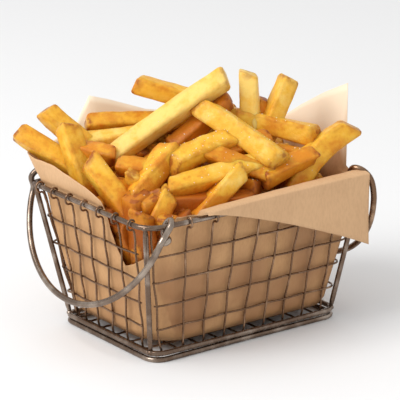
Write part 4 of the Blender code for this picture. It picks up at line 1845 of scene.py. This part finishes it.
@dataclass
class FryHeap:
    """The heap: fixed top sticks, loose ones settled under them and a core darkened as painted
    shade.
    """

    shape: BasketShape = field(default_factory=BasketShape)
    seed: int = 11
    loose_count: int = 150
    loose_spread: tuple[float, float] = (66.0, 46.0)
    loose_ceiling: tuple[float, float, float] = (82.0, 22.0, 0.12)
    loose_depth: float = 18.0
    loose_lengths: tuple[float, float] = (30.0, 62.0)
    loose_widths: tuple[float, float] = (7.8, 10.2)
    open_front: tuple[float, float] = (-20.0, 79.0)
    grades: tuple[Browning, ...] = (PALE, GOLDEN, GOLDEN, ORANGE, ORANGE, DARK)
    rings: int = 15
    end_rings: tuple[float, float, float] = (0.0, 0.7, 2.0)
    core_bottom: float = 8.2
    core_top: float = 91.0
    core_painted_shade: float = 0.8
    plump: float = 1.12
    liner_inset: float = 5.8
    liner_corner: float = 22.0
    far_corner_hold: float = 6.0

    def raw_stick(self) -> bpy.types.Mesh:
        """Return a cut potato stick of unit size, with rounded long edges.

        Returns:
            The stick's mesh.
        """
        mesh = bmesh.new()
        bmesh.ops.create_cube(mesh, size=1.0)
        across = [e for e in mesh.edges if abs(e.verts[0].co.x - e.verts[1].co.x) < 0.5]
        bmesh.ops.subdivide_edges(mesh, edges=across, cuts=1, use_grid_fill=True)
        corners = [
            e for e in mesh.edges
            if abs(e.verts[0].co.x - e.verts[1].co.x) > 0.5
            and abs(e.verts[0].co.y) > 0.4 and abs(e.verts[0].co.z) > 0.4
        ]
        bmesh.ops.bevel(
            mesh, geom=corners, offset=0.15, segments=2, profile=0.5, affect="EDGES", material=-1
        )
        along = [e for e in mesh.edges if abs(e.verts[0].co.x - e.verts[1].co.x) > 0.5]
        bmesh.ops.subdivide_edges(mesh, edges=along, cuts=self.rings, use_grid_fill=True)
        edge = mesh.verts.layers.float.new("edge")
        for vert in mesh.verts:
            near = min(abs(vert.co.y), abs(vert.co.z)) / 0.36
            vert[edge] = min(near, 1.0)
        for label in MARKS[1:]:
            mesh.verts.layers.float.new(label)
        return stored("raw_stick", mesh)

    def unfilled(self) -> bmesh.types.BMesh:
        """Return an empty mesh that can hold sticks.

        Returns:
            The mesh, with the marks that the potato finish reads.
        """
        mesh = bmesh.new()
        for label in MARKS:
            mesh.verts.layers.float.new(label)
        return mesh

    def fry(
        self, heap: bmesh.types.BMesh, raw: bpy.types.Mesh, stick: FryStick, draw: random.Random
    ) -> tuple[int, int]:
        """Add one stick to the heap, bent, tapered, roughened by frying and darkened by painted
        shade the lower it lies.

        Args:
            heap: Mesh that holds the heap.
            raw: The unit stick.
            stick: Which stick to add.
            draw: Random source.

        Returns:
            The first and last index of its faces.
        """
        first_vert, first_face = len(heap.verts), len(heap.faces)
        heap.from_mesh(raw)
        heap.verts.ensure_lookup_table()
        tip_mark, tone_and_shade_mark = heap.verts.layers.float["tip"], heap.verts.layers.float["tone"]
        place = stick.place()
        origin = Vector([draw.uniform(-90.0, 90.0) for _ in range(3)])
        sway, twist = draw.uniform(-1.0, 1.0), math.radians(draw.uniform(-16.0, 16.0))
        slants = [(draw.uniform(-0.45, 0.45), draw.uniform(-0.45, 0.45)) for _ in range(2)]
        slim = [draw.uniform(0.94, 1.06), draw.uniform(0.88, 1.04)]
        flat = draw.uniform(0.90, 1.02)
        width = stick.width * self.plump
        tone = min(max(stick.browning.value + draw.uniform(-0.07, 0.07), 0.0), 1.0)
        ends = self.end_rings
        last = self.rings + 1
        for vert in heap.verts[first_vert:]:
            index = round((vert.co.x + 0.5) * last)
            y, z = vert.co.y, vert.co.z
            if index < 3:
                x = ends[index]
            elif index > last - 3:
                x = stick.length - ends[last - index]
            else:
                x = blend(ends[2], stick.length - ends[2], (index - 2) / (last - 4))
            share = x / stick.length
            from_end = min(x, stick.length - x)
            rounded = 0.80 + 0.20 * math.sqrt(min(from_end / 2.0, 1.0))
            body = blend(slim[0], slim[1], ease(share, 0.45, 0.55))
            body = blend(body, 1.0, ease(from_end, 0.0, stick.length * 0.3))
            hollow = 1.0 - 0.055 * (1.0 - min(min(abs(y), abs(z)) / 0.3, 1.0))
            swell = 1.0 + 0.05 * noise.noise(origin + Vector((x * 0.10, 0.0, 0.0)))
            size = width * rounded * body * hollow * swell
            lump = Vector((x * 0.22, y * 2.0, z * 2.0)) + origin
            rough = noise.noise(lump) * 0.5 + noise.noise(lump * 2.7) * 0.35
            knobby = 1.0 + 2.2 * math.exp(-from_end / 4.0)
            size += (stick.lumps * 1.6 + 0.25) * rough * knobby
            slant = slants[0] if share < 0.5 else slants[1]
            lean = (slant[0] * y + slant[1] * z) * stick.width * (1.0 - ease(from_end, 0.0, 7.0))
            span = 2.0 * share - 1.0
            turn = twist * span
            py = (y * math.cos(turn) - z * math.sin(turn)) * size
            pz = (y * math.sin(turn) + z * math.cos(turn)) * size * flat
            arch = 1.0 - span * span
            local = Vector((x + lean, py + sway * arch, pz + stick.bend * arch))
            vert.co = self.inside_liner(place @ local)
            vert[tip_mark] = math.exp(-from_end / 2.6)
            # Painted shade: the lower a point lies under this dome, the darker its tone.
            room = dome(vert.co.x, vert.co.y, *SHADE_DOME)
            deep = ease(88.0 + 24.0 * max(room, 0.0) - vert.co.z, 5.0, 22.0)
            vert[tone_and_shade_mark] = min(tone + 0.62 * deep, 1.15)
        return first_face, len(heap.faces)

    def inside_liner(self, point: Vector) -> Vector:
        """Return a point taken back inside the paper's walls, below the rim and just over it.

        Args:
            point: A point on a stick.

        Returns:
            The point, moved where it would reach through the paper.
        """
        above = point.z - self.shape.rim_height
        above -= self.far_corner_hold * ease(point.x, 44.0, 60.0) * ease(point.y, 24.0, 38.0)
        hold = 1.0 - ease(above, -2.0, 8.0)
        if hold <= 0.0:
            return point
        level = max(min(point.z, self.shape.rim_height), self.shape.base_heights[1])
        inset = self.shape.wire_inset(level) + self.liner_inset
        half_length, half_width, _ = self.shape.sizes(level, inset)
        x = min(max(point.x, -half_length), half_length)
        y = min(max(point.y, -half_width), half_width)
        round_part = self.liner_corner if x * y > 0.0 else self.shape.rim_corner
        past = Vector((abs(x) - (half_length - round_part), abs(y) - (half_width - round_part)))
        if min(past) > 0.0 and past.length > round_part:
            past *= round_part / past.length
            x = math.copysign(half_length - round_part + past.x, x)
            y = math.copysign(half_width - round_part + past.y, y)
        return point.lerp(Vector((x, y, max(point.z, 8.0))), hold)

    def loose_sticks(self, draw: random.Random) -> list[FryStick]:
        """Return loose sticks settled under and between the top ones.

        Args:
            draw: Random source.

        Returns:
            The sticks, without those that would lie in front of the top ones.
        """
        centres, ways, halves, widths = [], [], [], []
        spread_x, spread_y = self.loose_spread
        walls, rise, slope = self.loose_ceiling
        while len(centres) < self.loose_count:
            x, y = draw.uniform(-spread_x, spread_x), draw.uniform(-spread_y, spread_y)
            room = dome(x, y, *HEAP_DOME)
            if room < 0.05:
                continue
            ceiling = walls + rise * room + slope * y
            z = draw.uniform(ceiling - self.loose_depth, ceiling)
            heading, lift = draw.uniform(0, math.tau), math.radians(draw.gauss(0.0, 13.0))
            length = draw.uniform(*self.loose_lengths)
            centres.append((x * 0.92, y * 0.9, z))
            level = math.cos(lift)
            ways.append((math.cos(heading) * level, math.sin(heading) * level, math.sin(lift)))
            halves.append(length / 2)
            widths.append(draw.uniform(*self.loose_widths))
        loose = len(centres)
        for stick in TOP_STICKS:
            start, end = stick.ends()
            centres.append(tuple((start + end) / 2))
            ways.append(tuple((end - start).normalized()))
            halves.append(stick.length / 2)
            widths.append(stick.width)
        centre_array, way_array = np.array(centres), np.array(ways)
        half_array, radius_array = np.array(halves), np.array(widths) * 0.53
        reach_array = half_array - radius_array * 0.6
        Settling(self.shape).settle(centre_array, way_array, reach_array, radius_array, loose)
        sticks = []
        for index in range(loose):
            way = Vector(way_array[index])
            middle = Vector(centre_array[index])
            if middle.y < self.open_front[0] and middle.z > self.open_front[1]:
                continue
            tip = middle - way * halves[index]
            sticks.append(
                FryStick(
                    tuple(tip),
                    math.degrees(math.atan2(way.y, way.x)),
                    math.degrees(math.asin(max(-1.0, min(1.0, way.z)))),
                    halves[index] * 2,
                    widths[index],
                    draw.uniform(-1.5, 2.0),
                    draw.uniform(0.0, 45.0),
                    draw.choice(self.grades),
                    draw.uniform(0.25, 0.7),
                    0.2,
                )
            )
        return sticks

    def core(self, finish: bpy.types.Material) -> None:
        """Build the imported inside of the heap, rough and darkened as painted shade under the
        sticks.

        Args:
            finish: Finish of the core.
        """
        mesh = bmesh.new()
        bmesh.ops.create_uvsphere(mesh, u_segments=96, v_segments=48, radius=1.0)
        for vert in mesh.verts:
            way = vert.co.copy()
            height = blend(self.core_bottom, self.core_top, (way.z + 1.0) / 2.0)
            wall = min(height, 78.0)
            half_length, half_width, _ = self.shape.sizes(wall, self.shape.wire_inset(wall) + 9.0)
            flat = math.hypot(way.x, way.y)
            angle = math.atan2(way.y, way.x)
            fill = max(flat, 1e-6) ** (0.35 if way.z < 0 else 0.75)
            along = math.copysign(abs(math.cos(angle)) ** 0.8, math.cos(angle))
            across = math.copysign(abs(math.sin(angle)) ** 0.8, math.sin(angle))
            point = Vector((half_length * along * fill, half_width * across * fill, height))
            rough = noise.noise(point * 0.09) * 2.2 + noise.noise(point * 0.25) * 1.2
            point -= Vector((way.x, way.y, max(way.z, 0.0))) * (1.8 + rough)
            vert.co = point
        for label in MARKS:
            mark = mesh.verts.layers.float.new(label)
        # Painted shade: the whole core gets one dark tone.
        for vert in mesh.verts:
            vert[mark] = self.core_painted_shade
        self.place_food("packed_fries_core", mesh, finish)

    def place_food(
        self, name: str, mesh: bmesh.types.BMesh, finish: bpy.types.Material
    ) -> None:
        """Set one piece of the food in the basket in place of the heap's node."""
        set_piece(name, mesh, finish, "basket", ("fries",))

    def build(
        self,
        finish: bpy.types.Material,
        core_finish_painted_shade: bpy.types.Material,
        salt_finish: bpy.types.Material,
    ) -> None:
        """Build the sticks, the core and the salt.

        Args:
            finish: Finish of the sticks.
            core_finish_painted_shade: Finish of the core, darkened as painted shade.
            salt_finish: Finish of the salt.
        """
        draw = random.Random(self.seed)
        raw = self.raw_stick()
        heap = self.unfilled()
        spans = [self.fry(heap, raw, stick, draw) for stick in TOP_STICKS]
        salt = SaltScatter(random.Random(self.seed + 1)).build(heap, spans)
        self.place_food("fries_on_top", heap, finish)
        under = self.unfilled()
        for stick in self.loose_sticks(draw):
            self.fry(under, raw, stick, draw)
        self.place_food("fries_below", under, finish)
        self.core(core_finish_painted_shade)
        self.place_food("salt_grains", salt, salt_finish)
        bpy.data.meshes.remove(raw)


@dataclass
class SaltScatter:
    """Grains of coarse salt that stick to the upper faces of the fries."""

    draw: random.Random
    grains: tuple[float, float] = (0.26, 0.66)
    density: float = 0.034
    steepest: float = 0.25

    def build(self, heap: bmesh.types.BMesh, spans: list[tuple[int, int]]) -> bmesh.types.BMesh:
        """Return one mesh of grains lying on the sticks.

        Args:
            heap: The sticks.
            spans: First and last face of each top stick.

        Returns:
            The mesh.
        """
        heap.faces.ensure_lookup_table()
        heap.normal_update()
        salt = bmesh.new()
        for stick, (first, last) in zip(TOP_STICKS, spans):
            # Bevels may number their faces differently each run, so they are put in order.
            in_order = sorted(
                heap.faces[first:last], key=lambda face: face.calc_center_median().to_tuple(3)
            )
            for face in in_order:
                if face.normal.z < self.steepest:
                    continue
                wanted = face.calc_area() * self.density * stick.salt
                for _ in range(int(wanted) + (self.draw.random() < wanted % 1.0)):
                    self.grain(salt, face)
        return salt

    def grain(self, salt: bmesh.types.BMesh, face: bmesh.types.BMFace) -> None:
        """Add one rough crystal on a face.

        Args:
            salt: Mesh that holds the grains.
            face: The face that it lies on.
        """
        corners = sorted(face.verts, key=lambda vert: vert.co.to_tuple(4))
        weights = [self.draw.random() + 0.05 for _ in corners]
        total = sum(weights)
        spot = Vector()
        for weight, vert in zip(weights, corners):
            spot += vert.co * (weight / total)
        size = self.draw.uniform(*self.grains) * self.draw.uniform(0.7, 1.0)
        place = (
            Matrix.Translation(spot + face.normal * size * 0.3)
            @ Matrix.Rotation(self.draw.uniform(0, math.tau), 4, "Z")
            @ Matrix.Rotation(self.draw.uniform(0, math.tau), 4, "X")
            @ Matrix.Diagonal((size, size * self.draw.uniform(0.7, 1.0), size * 0.8, 1.0))
        )
        bmesh.ops.create_cube(salt, size=1.0, matrix=place)


# ---------------------------------------------------------------- studio


@dataclass
class Studio:
    """Pale floor, soft light from the left and the camera."""

    camera_place: tuple[float, float, float] = (-0.7334, -0.9882, 0.4450)
    heading: float = 36.76
    dip: float = 16.85
    lens: float = 205.8
    sensor: float = 36.0
    sky: float = 0.79
    key_power: float = 22.0
    key_place: tuple[float, float, float] = (-1.25, 0.10, 1.30)
    key_size: float = 1.1
    lit_place: tuple[float, float, float] = (0.0, 0.0, 0.07)
    floor_reach: float = 6.0

    def build(self) -> None:
        """Build the floor, the lights and the camera."""
        scene = bpy.context.scene
        scene.view_settings.view_transform = "Standard"
        self.floor()
        world = bpy.data.worlds.new("studio_white")
        scene.world = world
        world.use_nodes = True
        background = world.node_tree.nodes["Background"]
        background.inputs["Color"].default_value = (1.0, 1.0, 1.0, 1.0)
        background.inputs["Strength"].default_value = self.sky
        self.lamp("key_light", self.key_place, self.key_size, self.key_power)
        camera = in_scene("camera", bpy.data.cameras.new("camera"))
        camera.location = self.camera_place
        camera.rotation_euler = (math.radians(90.0 - self.dip), 0.0, -math.radians(self.heading))
        camera.data.lens = self.lens
        camera.data.sensor_width = self.sensor
        camera.data.clip_start = 0.01
        scene.camera = camera

    def lamp(self, name: str, place: tuple[float, float, float], size: float, power: float) -> None:
        """Add a soft square lamp that faces the middle of the basket.

        Args:
            name: Name of the lamp.
            place: Where it stands, in metres.
            size: Length of its side.
            power: Its power in watts.
        """
        light = bpy.data.lights.new(name, "AREA")
        light.size = size
        light.energy = power
        lamp = in_scene(name, light)
        lamp.location = place
        aim = Vector(self.lit_place) - Vector(place)
        lamp.rotation_euler = aim.to_track_quat("-Z", "Y").to_euler()

    def floor(self) -> None:
        """Add the floor, which isn't part of the portion."""
        mesh = bmesh.new()
        bmesh.ops.create_grid(mesh, x_segments=1, y_segments=1, size=self.floor_reach)
        data = stored("studio_floor", mesh)
        data.materials.append(FloorFinish().make("studio_floor"))
        in_scene("studio_floor", data)


def main() -> None:
    """Build the portion, piece by piece, and set it in the studio."""
    logging.basicConfig(level=logging.INFO, format="%(name)s: %(message)s")
    effects = Effects(patches_effect(), relief_effect())
    frame_bronze = BronzeFinish().make(effects, "bronze_frame", 0.55)
    # The woven wires' warmer brown is a painted reflection of the paper and fries around them.
    mesh_bronze_painted_reflection = BronzeFinish(
        dark=(0.190, 0.108, 0.062, 1.0), rubbed=(0.50, 0.33, 0.21, 1.0)
    ).make(effects, "bronze_mesh_painted_reflection", 0.3)
    kraft = KraftFinish().make(effects, "kraft_paper")
    potato = PotatoFinish().make(effects, "fried_potato")
    # The core's copy of the potato is darkened as painted shade.
    potato_painted_shade = PotatoFinish().make(effects, "fried_potato_core_painted_shade", 1.0)
    salt = SaltFinish().make(effects, "salt")
    WireBasket().build(frame_bronze, mesh_bronze_painted_reflection)
    # The left handle's lighter copy of the bronze is a painted highlight.
    bail_bronze_painted_highlight = BronzeFinish(
        dark=(0.18, 0.13, 0.098, 1.0), rubbed=(0.47, 0.39, 0.32, 1.0), roughness=(0.20, 0.30)
    ).make(effects, "bronze_bails_painted_highlight", 0.62)
    BailHandle(Side.LEFT, tilt=22.4, eye_shift=-1.0, eye_skew=-0.08).build(bail_bronze_painted_highlight)
    BailHandle(
        Side.RIGHT, tilt=9.5, eye_reach=5.3, eye_height=6.9, eye_sag=-3.0, shank_offset=6.0
    ).build(mesh_bronze_painted_reflection)
    PaperLiner().build(kraft)
    FryHeap().build(potato, potato_painted_shade, salt)
    Studio().build()


if __name__ == "__main__":
    main()
